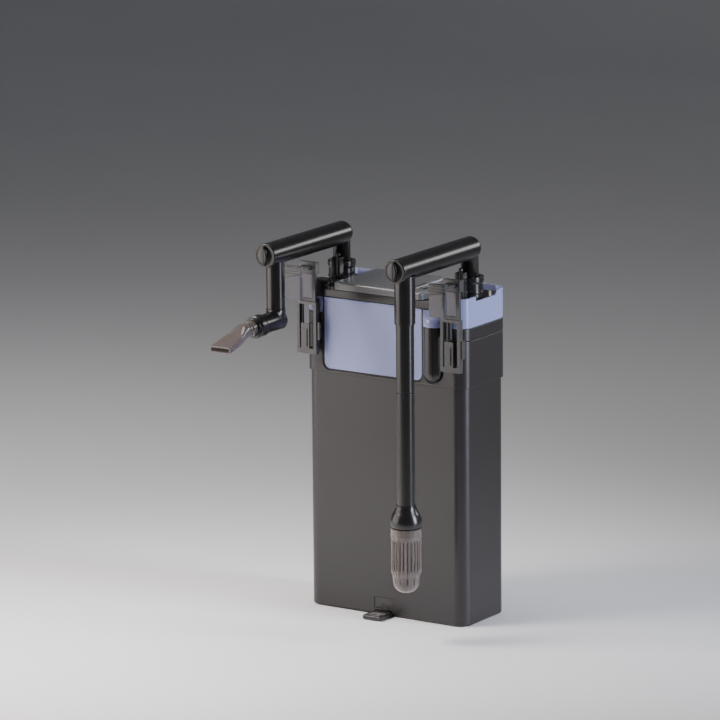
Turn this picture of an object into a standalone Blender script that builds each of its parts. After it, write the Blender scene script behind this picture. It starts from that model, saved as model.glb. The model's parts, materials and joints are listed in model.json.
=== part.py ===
"""Hang-on-back aquarium filter, built as an assembly of separate pieces.

Frame: metres, +Z up. The origin is the centre of the canister's flat bottom. -Y faces the tank
glass and +X is to the right for someone looking at the filter from inside the tank.
"""

import math

import bmesh
import bpy
from mathutils import Matrix, Vector

# ---------------------------------------------------------------- driving dimensions
MM = 0.001
GAP = 0.3 * MM                      # between pieces that touch

CANISTER_WIDTH = 164 * MM
CANISTER_DEPTH = 69 * MM
CANISTER_HEIGHT = 213.4 * MM
HOUSING_WIDTH = 166.6 * MM
HOUSING_DEPTH = 71.6 * MM
CORNER = 11.5 * MM
WALL = 2.4 * MM
FLOOR = 3 * MM

BAND_BOTTOM = 256 * MM              # black band that clamps the clear ring
RING_BOTTOM = 267 * MM              # clear ring around the top
RING_FRONT_TOP = 281 * MM
RING_SIDE_TOP = 293.5 * MM
RING_NOTCH_TOP = 289 * MM
NOTCH_X = (-77.4 * MM, 66 * MM)       # where the clear ring is low in front
BAY_Y = (-17 * MM, 17.5 * MM)       # and at the sides, beside the sockets
DECK_TOP = 288.6 * MM
LID_TOP = 296 * MM

WINDOW_LEFT = -62.2 * MM
WINDOW_RIGHT = 39.4 * MM
WINDOW_BOTTOM = 217.2 * MM
WINDOW_CORNER = 6 * MM
GASKET_WIDTH = 1.6 * MM

COLUMN_X = 51 * MM                  # round-bottomed column on the front
COLUMN_Y = -33.4 * MM
COLUMN_RADIUS = 9.6 * MM
COLUMN_BOTTOM = 216.6 * MM
COLUMN_GROOVE = 1 * MM
COLUMN_POCKET_Y = -34.4 * MM

ARM_X = 66.6 * MM                   # the two arms, at -ARM_X and +ARM_X
ARM_Z = 332 * MM
ARM_RADIUS = 10.2 * MM
ARM_BORE = 8.4 * MM
ARM_FRONT_Y = -116.6 * MM
DROP_Y = -104.3 * MM
REAR_RADIUS = 7.8 * MM
REAR_BORE = 6.2 * MM
REAR_BOTTOM = 289 * MM
ARM_END_ROUND = 7.5 * MM            # round end of an arm over its rear leg
KNOB_RADIUS = 10.7 * MM
KNOB_FRONT_Y = -120.4 * MM

SOCKET_RADIUS = 12.4 * MM
SOCKET_BORE = 8.7 * MM
SOCKET_BOTTOM = 272.9 * MM
SOCKET_TOP = 307.5 * MM
FINS = {"outlet": (-67 * MM, -57.6 * MM), "intake": (61.5 * MM, 70.7 * MM)}
PINS = {"outlet": -59.6 * MM, "intake": 67.7 * MM}

DROP_RADIUS = 8.0 * MM
TUBE_RADIUS = 7.8 * MM
TUBE_BORE = 6.6 * MM
SLEEVE_RADIUS = 9.1 * MM
SLEEVE_BORE = 8.15 * MM
JOINT_Z = 282.8 * MM                # outlet elbow turns here, sleeve ends near here
OUTLET_AXIS_Z = 271.8 * MM
OUTLET_RADIUS = 8.8 * MM
OUTLET_END_ROUND = 4.5 * MM
ELBOW_LEG = 8.4 * MM

HOOK_X = 74.6 * MM
HOOK_HALF = 8.5 * MM
HOOK_FRONT_Y = -43.5 * MM
HOOK_TOP = 312 * MM
HOOK_BLOCK_BOTTOM = 302 * MM
HOOK_SPLIT = 277.5 * MM
HOOK_BOTTOM = 230.4 * MM
JAW_FRONT_Y = -66.4 * MM
JAW_BOTTOM = 282.5 * MM

FOOT_X = -2.6 * MM
FOOT_HALF = 9.5 * MM
FOOT_FRONT_Y = -54.8 * MM
FOOT_REAR_Y = -23 * MM
FOOT_CHANNEL_Y = -9 * MM

PUMP_X = 37 * MM
PUMP_Y = 7 * MM

SIDES = {"outlet": -1, "intake": 1}
HANDS = {"left": -1, "right": 1}

# ---------------------------------------------------------------- materials
FINISHES = {
    "charcoal_plastic": ((0.055, 0.055, 0.06), 0.38, 0.0, 0.0),
    "black_plastic": ((0.018, 0.018, 0.02), 0.32, 0.0, 0.0),
    "pipe_plastic": ((0.022, 0.021, 0.022), 0.28, 0.0, 0.0),
    "lid_plastic": ((0.16, 0.16, 0.165), 0.35, 0.0, 0.0),
    "clear_blue": ((0.5, 0.55, 0.68), 0.25, 0.0, 0.6),
    "clear_smoke": ((0.45, 0.4, 0.37), 0.2, 0.0, 0.6),
    "rubber": ((0.012, 0.012, 0.012), 0.7, 0.0, 0.0),
    "coarse_foam": ((0.02, 0.04, 0.09), 0.95, 0.0, 0.0),
    "fine_foam": ((0.75, 0.77, 0.78), 0.95, 0.0, 0.0),
    "ceramic": ((0.7, 0.66, 0.58), 0.6, 0.0, 0.0),
    "magnet": ((0.05, 0.05, 0.055), 0.5, 0.2, 0.0),
}


def material(finish):
    found = bpy.data.materials.get(finish)
    if found:
        return found
    colour, roughness, metallic, transmission = FINISHES[finish]
    made = bpy.data.materials.new(finish)
    made.use_nodes = True
    shader = made.node_tree.nodes["Principled BSDF"]
    shader.inputs["Base Color"].default_value = (*colour, 1)
    shader.inputs["Roughness"].default_value = roughness
    shader.inputs["Metallic"].default_value = metallic
    shader.inputs["Transmission Weight"].default_value = transmission
    return made


# ---------------------------------------------------------------- scene and helpers
def clear_scene():
    for old in list(bpy.data.objects):
        bpy.data.objects.remove(old, do_unlink=True)


def collection(name):
    made = bpy.data.collections.new(name)
    bpy.context.scene.collection.children.link(made)
    return made


def add(name, mesh, finish=None):
    """A part with its finish, or a cutter when it has none."""
    obj = bpy.data.objects.new(name, mesh)
    if finish:
        PARTS.objects.link(obj)
        mesh.materials.append(material(finish))
    else:
        CUTTERS.objects.link(obj)
        obj.hide_render = True
        obj.display_type = "WIRE"
    return obj


def finish_bmesh(name, bm, finish=None, smooth=None):
    bmesh.ops.recalc_face_normals(bm, faces=bm.faces)
    mesh = bpy.data.meshes.new(name)
    bm.to_mesh(mesh)
    bm.free()
    if smooth:
        mesh.shade_smooth()
        mesh.set_sharp_from_angle(angle=math.radians(smooth))
    return add(name, mesh, finish)


def is_upright(edge):
    a, b = (v.co for v in edge.verts)
    return abs(a.x - b.x) < GAP and abs(a.y - b.y) < GAP


def is_level_at(edge, height):
    return all(abs(v.co.z - height) < GAP / 3 for v in edge.verts)


def block(name, low, high, finish=None, corner=0, segments=4, top=0, bottom=0):
    """A box between two corners, with rounded uprights and rounded top or bottom edges."""
    bm = bmesh.new()
    bmesh.ops.create_cube(bm, size=1)
    size = [b - a for a, b in zip(low, high)]
    middle = [(a + b) / 2 for a, b in zip(low, high)]
    bm.transform(Matrix.Translation(middle) @ Matrix.Diagonal((*size, 1)))
    if corner:
        edges = [e for e in bm.edges if is_upright(e)]
        bmesh.ops.bevel(bm, geom=edges, offset=corner, segments=segments, profile=0.5, affect="EDGES")
    for width, height in ((top, high[2]), (bottom, low[2])):
        if width:
            edges = [e for e in bm.edges if is_level_at(e, height)]
            bmesh.ops.bevel(bm, geom=edges, offset=width, segments=2, profile=0.5, affect="EDGES")
    return finish_bmesh(name, bm, finish, smooth=35)


def centred(width, depth, bottom, top):
    return (-width / 2, -depth / 2, bottom), (width / 2, depth / 2, top)


def prism(name, outline, start, end, axis, finish=None):
    """An outline of (u, v) points drawn along X, Y or Z from start to end."""
    place = {
        "X": lambda u, v, w: (w, u, v),
        "Y": lambda u, v, w: (u, w, v),
        "Z": lambda u, v, w: (u, v, w),
    }[axis]
    bm = bmesh.new()
    near = [bm.verts.new(place(u, v, start)) for u, v in outline]
    face = bm.faces.new(near)
    moved = bmesh.ops.extrude_face_region(bm, geom=[face])["geom"]
    shift = Vector(place(0, 0, end)) - Vector(place(0, 0, start))
    bmesh.ops.translate(bm, vec=shift, verts=[g for g in moved if isinstance(g, bmesh.types.BMVert)])
    return finish_bmesh(name, bm, finish)


def turned(name, profile, centre, finish=None, steps=24, axis="Z"):
    """A profile of (radius, height) points, top to bottom outside, turned about an axis."""
    mesh = bpy.data.meshes.new(name)
    pairs = [(i, (i + 1) % len(profile)) for i in range(len(profile))]
    edges = [(a, b) for a, b in pairs if profile[a][0] > 0 or profile[b][0] > 0]
    mesh.from_pydata([(radius, 0, height) for radius, height in profile], edges, [])
    obj = add(name, mesh, finish)
    obj.location = centre
    if axis == "Y":
        obj.rotation_euler.x = math.radians(90)
    screw = obj.modifiers.new("turn", "SCREW")
    screw.axis = "Z"
    screw.steps = steps
    screw.render_steps = steps
    screw.use_merge_vertices = True
    screw.merge_threshold = 0.00005
    screw.use_smooth_shade = True
    return obj


def tube(name, outer, bore, low, high, centre, finish=None, steps=24, axis="Z"):
    profile = [(outer, high), (outer, low), (bore, low), (bore, high)]
    return turned(name, profile, centre, finish, steps, axis)


def rod(name, radius, low, high, centre, finish=None, steps=24, axis="Z"):
    profile = [(0, high), (radius, high), (radius, low), (0, low)]
    return turned(name, profile, centre, finish, steps, axis)


def bent_pipe(name, points, radii, finish=None, sides=24):
    """A round pipe along a path, as a mesh with welded caps."""
    curve = bpy.data.curves.new(name, "CURVE")
    curve.dimensions = "3D"
    curve.bevel_depth = 1
    curve.bevel_resolution = (sides - 4) // 2
    curve.use_fill_caps = True
    spline = curve.splines.new("POLY")
    spline.points.add(len(points) - 1)
    for spot, point, radius in zip(spline.points, points, radii):
        spot.co = (*point, 1)
        spot.radius = radius
    drawn = bpy.data.objects.new(name + "_path", curve)
    CUTTERS.objects.link(drawn)
    bpy.context.view_layer.update()
    evaluated = drawn.evaluated_get(bpy.context.evaluated_depsgraph_get())
    mesh = bpy.data.meshes.new_from_object(evaluated)
    mesh.materials.clear()
    bm = bmesh.new()
    bm.from_mesh(mesh)
    bmesh.ops.remove_doubles(bm, verts=bm.verts, dist=0.00001)
    bm.to_mesh(mesh)
    bm.free()
    mesh.name = name
    mesh.shade_smooth()
    mesh.set_sharp_from_angle(angle=math.radians(40))
    obj = add(name, mesh, finish)
    obj.matrix_world = drawn.matrix_world.copy()
    bpy.data.objects.remove(drawn, do_unlink=True)
    return obj


def combine(obj, other, operation):
    step = obj.modifiers.new(operation.lower(), "BOOLEAN")
    step.object = other
    step.operation = operation
    step.solver = "EXACT"


def cut(obj, *others):
    for other in others:
        combine(obj, other, "DIFFERENCE")


def join(obj, *others):
    for other in others:
        combine(obj, other, "UNION")


def hang_on(axis_name, spot, *objects):
    """Parent moving pieces to an empty that stands on their joint's axis."""
    empty = bpy.data.objects.new(axis_name, None)
    PARTS.objects.link(empty)
    empty.location = spot
    for obj in objects:
        obj.parent = empty
        obj.matrix_parent_inverse = Matrix.Translation(-Vector(spot))


# ---------------------------------------------------------------- canister and foot
def canister():
    shell = block("canister", *centred(CANISTER_WIDTH, CANISTER_DEPTH, 0, CANISTER_HEIGHT),
                  "charcoal_plastic", corner=CORNER, bottom=2.2 * MM)
    inner = centred(CANISTER_WIDTH - 2 * WALL, CANISTER_DEPTH - 2 * WALL, FLOOR, 1.1 * CANISTER_HEIGHT)
    cut(shell, block("canister_inside", *inner, corner=CORNER - WALL))
    roof = 7.4 * MM
    low = (FOOT_X - 12 * MM, -CANISTER_DEPTH / 2 + WALL / 2, FLOOR / 2)
    high = (FOOT_X + 12 * MM, FOOT_CHANNEL_Y + 2.5 * MM, roof)
    join(shell, block("foot_channel_roof", low, high))
    low = (FOOT_X - FOOT_HALF - GAP, -CANISTER_DEPTH, -FLOOR)
    high = (FOOT_X + FOOT_HALF + GAP, FOOT_CHANNEL_Y, 4.6 * MM)
    cut(shell, block("foot_channel", low, high))
    plate_low, plate_high = foot_plate_corners(GAP)
    cut(shell, block("foot_plate_pocket", plate_low, plate_high))


def foot_plate_corners(margin):
    front = -CANISTER_DEPTH / 2
    low = (FOOT_X - 9.9 * MM - margin, front - 5 * margin + 0.35 * MM, 6.4 * MM - margin)
    high = (FOOT_X + 9.9 * MM + margin, front + 1.2 * MM + margin, 16.2 * MM + margin)
    return low, high


def foot():
    low, high = foot_plate_corners(0)
    guide = block("foot_guide", low, high, "charcoal_plastic")
    arrow = [(FOOT_X - 2.6 * MM, 9.4 * MM), (FOOT_X + 2.6 * MM, 9.4 * MM), (FOOT_X, 12.6 * MM)]
    cut(guide, prism("foot_arrow", arrow, low[1] - GAP, low[1] + 0.5 * MM, "Y"))
    low = (FOOT_X - FOOT_HALF, FOOT_FRONT_Y, 0.5 * MM)
    high = (FOOT_X + FOOT_HALF, FOOT_REAR_Y, 4.2 * MM)
    pad = block("foot_pad", low, high, "charcoal_plastic", corner=1.5 * MM, segments=2)
    hang_on("foot_slide_axis", (FOOT_X, FOOT_REAR_Y, 0.5 * MM), pad)


# ---------------------------------------------------------------- housing layers
def column_cover():
    """The round-bottomed cover on the front, set into a groove in the wall."""
    ball = COLUMN_BOTTOM + COLUMN_RADIUS
    top = RING_BOTTOM - GAP
    turns = 5
    profile = [(0, top), (COLUMN_RADIUS, top)]
    for i in range(turns):
        angle = math.radians(90) * i / turns
        profile.append((COLUMN_RADIUS * math.cos(angle), ball - COLUMN_RADIUS * math.sin(angle)))
    profile.append((0, COLUMN_BOTTOM))
    cover = turned("column_cover", profile, (COLUMN_X, COLUMN_Y, 0), "black_plastic", steps=24)
    low, high = (0, COLUMN_POCKET_Y - GAP, 0), (2 * COLUMN_X, 0, 2 * top)
    cut(cover, block("column_back", low, high))


def column_pocket(name):
    """The round-bottomed groove that the column's cover is set into."""
    reach = COLUMN_RADIUS + COLUMN_GROOVE
    ball = COLUMN_BOTTOM + COLUMN_RADIUS
    turns = 8
    outline = []
    for i in range(turns + 1):
        angle = math.radians(180 + 180 * i / turns)
        outline.append((COLUMN_X + reach * math.cos(angle), ball + reach * math.sin(angle)))
    outline += [(COLUMN_X + reach, RING_SIDE_TOP), (COLUMN_X - reach, RING_SIDE_TOP)]
    return prism(name, outline, -HOUSING_DEPTH, COLUMN_POCKET_Y, "Y")


def layer(name, bottom, top, finish):
    """One layer of the upper housing: a ring of wall."""
    ring = block(name, *centred(HOUSING_WIDTH, HOUSING_DEPTH, bottom, top), finish, corner=CORNER)
    inner = centred(HOUSING_WIDTH - 2 * WALL, HOUSING_DEPTH - 2 * WALL, bottom - WALL, top + WALL)
    cut(ring, block(name + "_inside", *inner, corner=CORNER - WALL))
    return ring


def window_hole(margin):
    """The outline of the window's hole, open at the top, and where it starts and ends."""
    low = (WINDOW_LEFT - margin, -HOUSING_DEPTH, WINDOW_BOTTOM - margin)
    high = (WINDOW_RIGHT + margin, -HOUSING_DEPTH / 3, 2 * RING_FRONT_TOP - WINDOW_BOTTOM)
    size = (high[0] - low[0], high[2] - low[2])
    corner = WINDOW_CORNER + margin
    outline = []
    for side, start in ((-1, 180), (1, 270)):
        centre = ((low[0] + high[0]) / 2 + side * (size[0] / 2 - corner), low[2] + corner)
        for i in range(5):
            angle = math.radians(start + 90 * i / 4)
            outline.append((centre[0] + corner * math.cos(angle), centre[1] + corner * math.sin(angle)))
    outline += [(high[0], high[2]), (low[0], high[2])]
    return outline, low[1], high[1]


def housing():
    hole = prism("window_hole", *window_hole(GASKET_WIDTH + GAP), "Y")
    lower = layer("upper_housing", CANISTER_HEIGHT + GAP, BAND_BOTTOM - GAP, "charcoal_plastic")
    cut(lower, hole, column_pocket("lower_pocket"))
    band = layer("housing_band", BAND_BOTTOM, RING_BOTTOM - GAP, "charcoal_plastic")
    cut(band, hole, column_pocket("band_pocket"))
    column_cover()
    ring = layer("clear_ring", RING_BOTTOM, RING_SIDE_TOP, "clear_blue")
    spot = (COLUMN_X, COLUMN_Y, 0)
    join(ring, rod("ring_column", COLUMN_RADIUS, RING_BOTTOM, RING_SIDE_TOP, spot))
    inner = centred(HOUSING_WIDTH - 2 * WALL, HOUSING_DEPTH - 2 * WALL, 250 * MM, 310 * MM)
    cut(ring, block("ring_inside", *inner, corner=CORNER - WALL), hole)
    low = (NOTCH_X[0], -HOUSING_DEPTH, RING_FRONT_TOP)
    high = (NOTCH_X[1], -30 * MM, RING_SIDE_TOP + WALL)
    cut(ring, block("ring_front_notch", low, high))
    low = (-HOUSING_WIDTH, BAY_Y[0], RING_NOTCH_TOP)
    high = (HOUSING_WIDTH, BAY_Y[1], RING_SIDE_TOP + WALL)
    cut(ring, block("ring_side_notch", low, high))


def seam_gasket():
    """The gasket that sits inside the canister's mouth, under the housing."""
    outer = centred(CANISTER_WIDTH - 2 * WALL - 2 * GAP, CANISTER_DEPTH - 2 * WALL - 2 * GAP,
                    207 * MM, CANISTER_HEIGHT)
    ring = block("seam_gasket", *outer, "rubber", corner=CORNER - WALL)
    inner = centred(CANISTER_WIDTH - 4 * WALL, CANISTER_DEPTH - 4 * WALL, 200 * MM, 220 * MM)
    cut(ring, block("seam_gasket_inside", *inner, corner=CORNER - 2 * WALL))


def window():
    front = -HOUSING_DEPTH / 2 + 0.5 * MM
    back = front + 2 * MM
    outline, _, _ = window_hole(0)
    clipped = outline[:-2] + [(WINDOW_RIGHT, RING_FRONT_TOP), (WINDOW_LEFT, RING_FRONT_TOP)]
    prism("front_window", clipped, front, back, "Y", "clear_blue")
    outline, _, _ = window_hole(GASKET_WIDTH)
    wide = GASKET_WIDTH
    clipped = outline[:-2] + [(WINDOW_RIGHT + wide, RING_FRONT_TOP), (WINDOW_LEFT - wide, RING_FRONT_TOP)]
    gasket = prism("window_gasket", clipped, front + GAP, back, "Y", "rubber")
    cut(gasket, prism("window_gasket_inside", *window_hole(GAP / 2), "Y"))


# ---------------------------------------------------------------- deck and lid
def pocket(name, side):
    near, far = sorted((side * 52.6 * MM, side * 80 * MM))
    return block(name, (near, -18 * MM, 272.5 * MM), (far, 31 * MM, 300 * MM), corner=2 * MM, segments=2)


def deck():
    width = HOUSING_WIDTH - 2 * WALL - 2 * GAP
    depth = HOUSING_DEPTH - 2 * WALL - 2 * GAP
    top = block("top_deck", *centred(width, depth, 270 * MM, DECK_TOP), "black_plastic",
                corner=CORNER - WALL - GAP)
    low = (-77 * MM, -HOUSING_DEPTH / 2 + 0.6 * MM, RING_FRONT_TOP + GAP)
    high = (65.6 * MM, -20 * MM, DECK_TOP)
    join(top, block("deck_front", low, high, corner=5 * MM, segments=3))
    low = (-77 * MM, -HOUSING_DEPTH / 2 + 0.8 * MM, 282 * MM)
    high = (-53 * MM, -19 * MM, LID_TOP - 0.8 * MM)
    join(top, block("deck_shoulder", low, high, corner=5 * MM, segments=3, top=3 * MM))
    cut(top, pocket("outlet_pocket", -1), pocket("intake_pocket", 1))
    middle = ((-49 * MM, -27 * MM, 250 * MM), (19 * MM, 30 * MM, 300 * MM))
    cut(top, block("media_opening", *middle, corner=4 * MM, segments=3))
    bay = ((22 * MM, -27 * MM, 250 * MM), (50 * MM, 31 * MM, DECK_TOP - WALL))
    cut(top, block("pump_bay", *bay))
    for side in (-1, 1):
        spot = (side * ARM_X, 0, 0)
        cut(top, rod("duct_hole_%d" % (side + 1), SOCKET_BORE, 260 * MM, 290 * MM, spot))


def lid():
    front = -HOUSING_DEPTH / 2 - 0.2 * MM
    outline = [(-52.4 * MM, front), (39.8 * MM, front), (39.8 * MM, -20 * MM), (21.8 * MM, -20 * MM),
               (21.8 * MM, 33 * MM), (-52.4 * MM, 33 * MM)]
    cover = prism("lid", outline, DECK_TOP + GAP, LID_TOP, "Z", "lid_plastic")
    soften = cover.modifiers.new("edges", "BEVEL")
    soften.width = 3 * MM
    soften.segments = 3
    soften.limit_method = "ANGLE"
    soften.angle_limit = math.radians(60)
    low, high = (-48.6 * MM, -26.6 * MM, 283 * MM), (18.6 * MM, 29.6 * MM, DECK_TOP)
    seal = block("lid_seal", low, high, "rubber", corner=3.6 * MM, segments=3)
    low, high = (-45 * MM, -23 * MM, 280 * MM), (15 * MM, 26 * MM, 300 * MM)
    cut(seal, block("lid_seal_inside", low, high, corner=2 * MM, segments=3))
    hang_on("lid_lift_axis", (-15 * MM, 0, DECK_TOP), cover, seal)
    low, high = (22.4 * MM, -19.4 * MM, DECK_TOP + GAP), (51.5 * MM, 32 * MM, 291.4 * MM)
    block("pump_hatch", low, high, "black_plastic", corner=2.5 * MM, segments=3, top=0.9 * MM)


def cable_gland():
    back = HOUSING_DEPTH / 2
    profile = [(2.6 * MM, 11 * MM), (3.6 * MM, 11 * MM), (4.4 * MM, 4 * MM), (6.5 * MM, 3.4 * MM),
               (6.5 * MM, GAP), (2.6 * MM, GAP)]
    gland = turned("cable_gland", profile, (PUMP_X, back, 238 * MM), "rubber", 20, "Y")
    gland.rotation_euler.x = math.radians(-90)


# ---------------------------------------------------------------- inside
def media():
    low, high = (-73 * MM, -28.5 * MM, 8.4 * MM), (19 * MM, 28.5 * MM, 203 * MM)
    basket = block("media_basket", low, high, "black_plastic", corner=6 * MM, segments=3)
    thin = 1.6 * MM
    low = (low[0] + thin, low[1] + thin, low[2] + thin)
    high = (high[0] - thin, high[1] - thin, high[2] + thin)
    cut(basket, block("basket_inside", low, high, corner=4.4 * MM, segments=3))
    for i in range(5):
        x = low[0] + (10 + 17 * i) * MM
        cut(basket, block("basket_slot_%d" % i, (x, -20 * MM, 6 * MM), (x + 4 * MM, 20 * MM, 12 * MM)))
    fills = (("coarse_sponge", 11, 78, "coarse_foam"), ("bio_media", 80, 142, "ceramic"),
             ("fine_pad", 144, 168, "fine_foam"))
    for name, bottom, top, finish in fills:
        spare = 1 * MM
        corners = ((low[0] + spare, low[1] + spare, bottom * MM),
                   (high[0] - spare, high[1] - spare, top * MM))
        block(name, *corners, finish, corner=4 * MM, segments=2)
    block("partition", (19.6 * MM, -29.3 * MM, 8.2 * MM), (20.8 * MM, 29.3 * MM, 269.6 * MM), "black_plastic")


def pump():
    centre = (PUMP_X, PUMP_Y, 0)
    profile = [(0, 269.6), (15, 269.6), (15, 238.3), (7.4, 238.3), (7.4, 266), (0, 266)]
    turned("pump_body", [(r * MM, z * MM) for r, z in profile], centre, "black_plastic")
    profile = [(15.6, 238), (15.6, 221), (4.6, 221), (4.6, 223), (13, 223), (13, 238)]
    turned("pump_cover", [(r * MM, z * MM) for r, z in profile], centre, "black_plastic")
    profile = [(1.5, 262), (6.6, 262), (6.6, 237), (11.6, 236), (11.6, 226), (1.5, 226)]
    wheel = turned("impeller", [(r * MM, z * MM) for r, z in profile], centre, "magnet")
    for i in range(3):
        low, high = (-0.05, -0.001, 0.2249), (0.05, 0.001, 0.2332)
        slot = block("impeller_slot_%d" % i, low, high)
        slot.location = (PUMP_X, PUMP_Y, 0)
        slot.rotation_euler.z = math.radians(60 * i)
        cut(wheel, slot)
    hang_on("impeller_axis", centre, wheel)
    rod("impeller_shaft", 1.1 * MM, 224.2 * MM, 265.4 * MM, centre, "ceramic", 12)
    profile = [(6.9, 265.6), (6.9, 262.6), (1.5, 262.6), (1.5, 265.6)]
    turned("upper_bush", [(r * MM, z * MM) for r, z in profile], centre, "rubber", 16)
    profile = [(3.6, 225.4), (3.6, 223.4), (1.5, 223.4), (1.5, 225.4)]
    turned("lower_bush", [(r * MM, z * MM) for r, z in profile], centre, "rubber", 16)


def ducts():
    tube("outlet_riser", 8.2 * MM, 6.9 * MM, 212 * MM, SOCKET_BOTTOM - GAP, (-ARM_X, 0, 0), "black_plastic")
    x = ARM_X
    y = 0
    high = SOCKET_BOTTOM - GAP
    points = [(x, y, high), (x, y, 238 * MM), (x - 1 * MM, y, 233 * MM),
              (x - 4.5 * MM, y + 1 * MM, 229.6 * MM), (x - 9 * MM, y + 2 * MM, 229 * MM),
              (x - 12.6 * MM, y + 3 * MM, 229 * MM)]
    duct = bent_pipe("intake_duct", points, [7.4 * MM] * 6, "black_plastic", 16)
    ends = [(x, y, high + 9 * MM)] + points + [(x - 22 * MM, y + 5.6 * MM, 229 * MM)]
    cut(duct, bent_pipe("intake_duct_bore", ends, [5.8 * MM] * 8, None, 16))
    tube("downpipe", 6.4 * MM, 5.1 * MM, 12 * MM, 220.6 * MM, (PUMP_X, PUMP_Y, 0), "black_plastic", 20)


# ---------------------------------------------------------------- arms
def capped_pipe(name, radius, front, back, rounding, x, z, finish=None, steps=24):
    """A solid pipe along Y that ends at the back in a round edge."""
    turns = 4
    profile = [(0, -front), (radius, -front)]
    for i in range(turns + 1):
        angle = math.radians(90) * i / turns
        profile.append((radius - rounding + rounding * math.cos(angle),
                        -back + rounding - rounding * math.sin(angle)))
    profile.append((0, -back))
    return turned(name, profile, (x, 0, z), finish, steps, "Y")


def arm(name, side, hole):
    """A pipe over the tank's rim, with a rear leg that stands in the socket."""
    x = side * ARM_X
    leg = (x, 0, 0)
    pipe = capped_pipe(name, ARM_RADIUS, ARM_FRONT_Y, REAR_RADIUS, ARM_END_ROUND, x, ARM_Z, "pipe_plastic")
    join(pipe, rod(name + "_leg", REAR_RADIUS, REAR_BOTTOM, ARM_Z, leg))
    cut(pipe, rod(name + "_bore", ARM_BORE, REAR_BORE / 2, -2 * ARM_FRONT_Y, (x, 0, ARM_Z), axis="Y"))
    cut(pipe, rod(name + "_leg_bore", REAR_BORE, 0.9 * REAR_BOTTOM, ARM_Z, leg))
    cut(pipe, rod(name + "_drop_hole", hole, 310 * MM, ARM_Z, (x, DROP_Y, 0)))
    return pipe


def knob(name, side):
    """The flow knob: a round cap with a lens-shaped grip and a plug inside the pipe."""
    centre = (side * ARM_X, 0, ARM_Z)
    front = -KNOB_FRONT_Y
    profile = [(0, front), (KNOB_RADIUS - 1.4 * MM, front), (KNOB_RADIUS, front - 1 * MM),
               (KNOB_RADIUS, -ARM_FRONT_Y + GAP), (ARM_BORE - 2 * GAP, -ARM_FRONT_Y + GAP),
               (ARM_BORE - 2 * GAP, 113.9 * MM), (0, 113.9 * MM)]
    cap = turned(name, profile, centre, "pipe_plastic", 28, "Y")
    half_height, half_width, turns = 9.6 * MM, 3.6 * MM, 5
    bulge = (half_height ** 2 + half_width ** 2) / (2 * half_width)
    span = math.asin(half_height / bulge)
    outline = []
    for way in (1, -1):
        for i in range(turns):
            angle = -span + 2 * span * i / turns
            u = way * (bulge * math.cos(angle) - bulge + half_width)
            outline.append((centre[0] + u, ARM_Z + way * bulge * math.sin(angle)))
    join(cap, prism(name + "_grip", outline, KNOB_FRONT_Y - 2.4 * MM, KNOB_FRONT_Y + 1 * MM, "Y"))
    return cap


def socket(name, side, fin, pin_x):
    """The collar that holds an arm's leg, with a fin in front of it that holds the latch pin."""
    x = side * ARM_X
    profile = [(SOCKET_RADIUS, SOCKET_TOP), (SOCKET_RADIUS, 303 * MM), (SOCKET_RADIUS - 0.8 * MM, 302 * MM),
               (SOCKET_RADIUS - 0.8 * MM, SOCKET_BOTTOM), (SOCKET_BORE, SOCKET_BOTTOM),
               (SOCKET_BORE, SOCKET_TOP)]
    collar = turned(name, profile, (x, 0, 0), "black_plastic")
    low = (fin[0], -17.2 * MM, DECK_TOP - 14 * MM)
    high = (fin[1], -10.4 * MM, 312.6 * MM)
    join(collar, block(name + "_fin", low, high))
    notch_low = (pin_x - 1.6 * MM, -18 * MM, 290 * MM)
    notch_high = (pin_x + 1.6 * MM, -15.2 * MM, 320 * MM)
    cut(collar, block(name + "_groove", notch_low, notch_high))
    return collar


def latch_pin(name, pin_x):
    """A ball-headed push pin that stands in the fin's groove."""
    centre = (pin_x, -16.6 * MM, 0)
    radius, ball, turns = 1.1 * MM, 2.1 * MM, 6
    profile = [(0, 317.4 * MM)]
    for i in range(1, turns):
        angle = math.radians(90 - 150 * i / turns)
        profile.append((ball * math.cos(angle), 315.3 * MM + ball * math.sin(angle)))
    profile += [(radius, 313.2 * MM), (radius, 294 * MM), (0, 294 * MM)]
    return turned(name, profile, centre, "black_plastic", 12)


def arms():
    holes = {"outlet": DROP_RADIUS + GAP, "intake": SLEEVE_RADIUS + GAP}
    for key, side in SIDES.items():
        x = side * ARM_X
        pipe = arm(key + "_arm", side, holes[key])
        ring = tube(key + "_oring", SOCKET_BORE - 0.2 * MM, REAR_RADIUS + 0.15 * MM, 298 * MM, 300 * MM,
                    (x, 0, 0), "rubber", 20)
        hang_on(key + "_arm_axis", (x, 0, ARM_Z), pipe, ring)
        hang_on(key + "_knob_axis", (x, ARM_FRONT_Y, ARM_Z), knob(key + "_knob", side))
        socket(key + "_socket", side, FINS[key], PINS[key])
        pin = latch_pin(key + "_latch_pin", PINS[key])
        hang_on(key + "_pin_axis", (PINS[key], -16.6 * MM, 300 * MM), pin)


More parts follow.
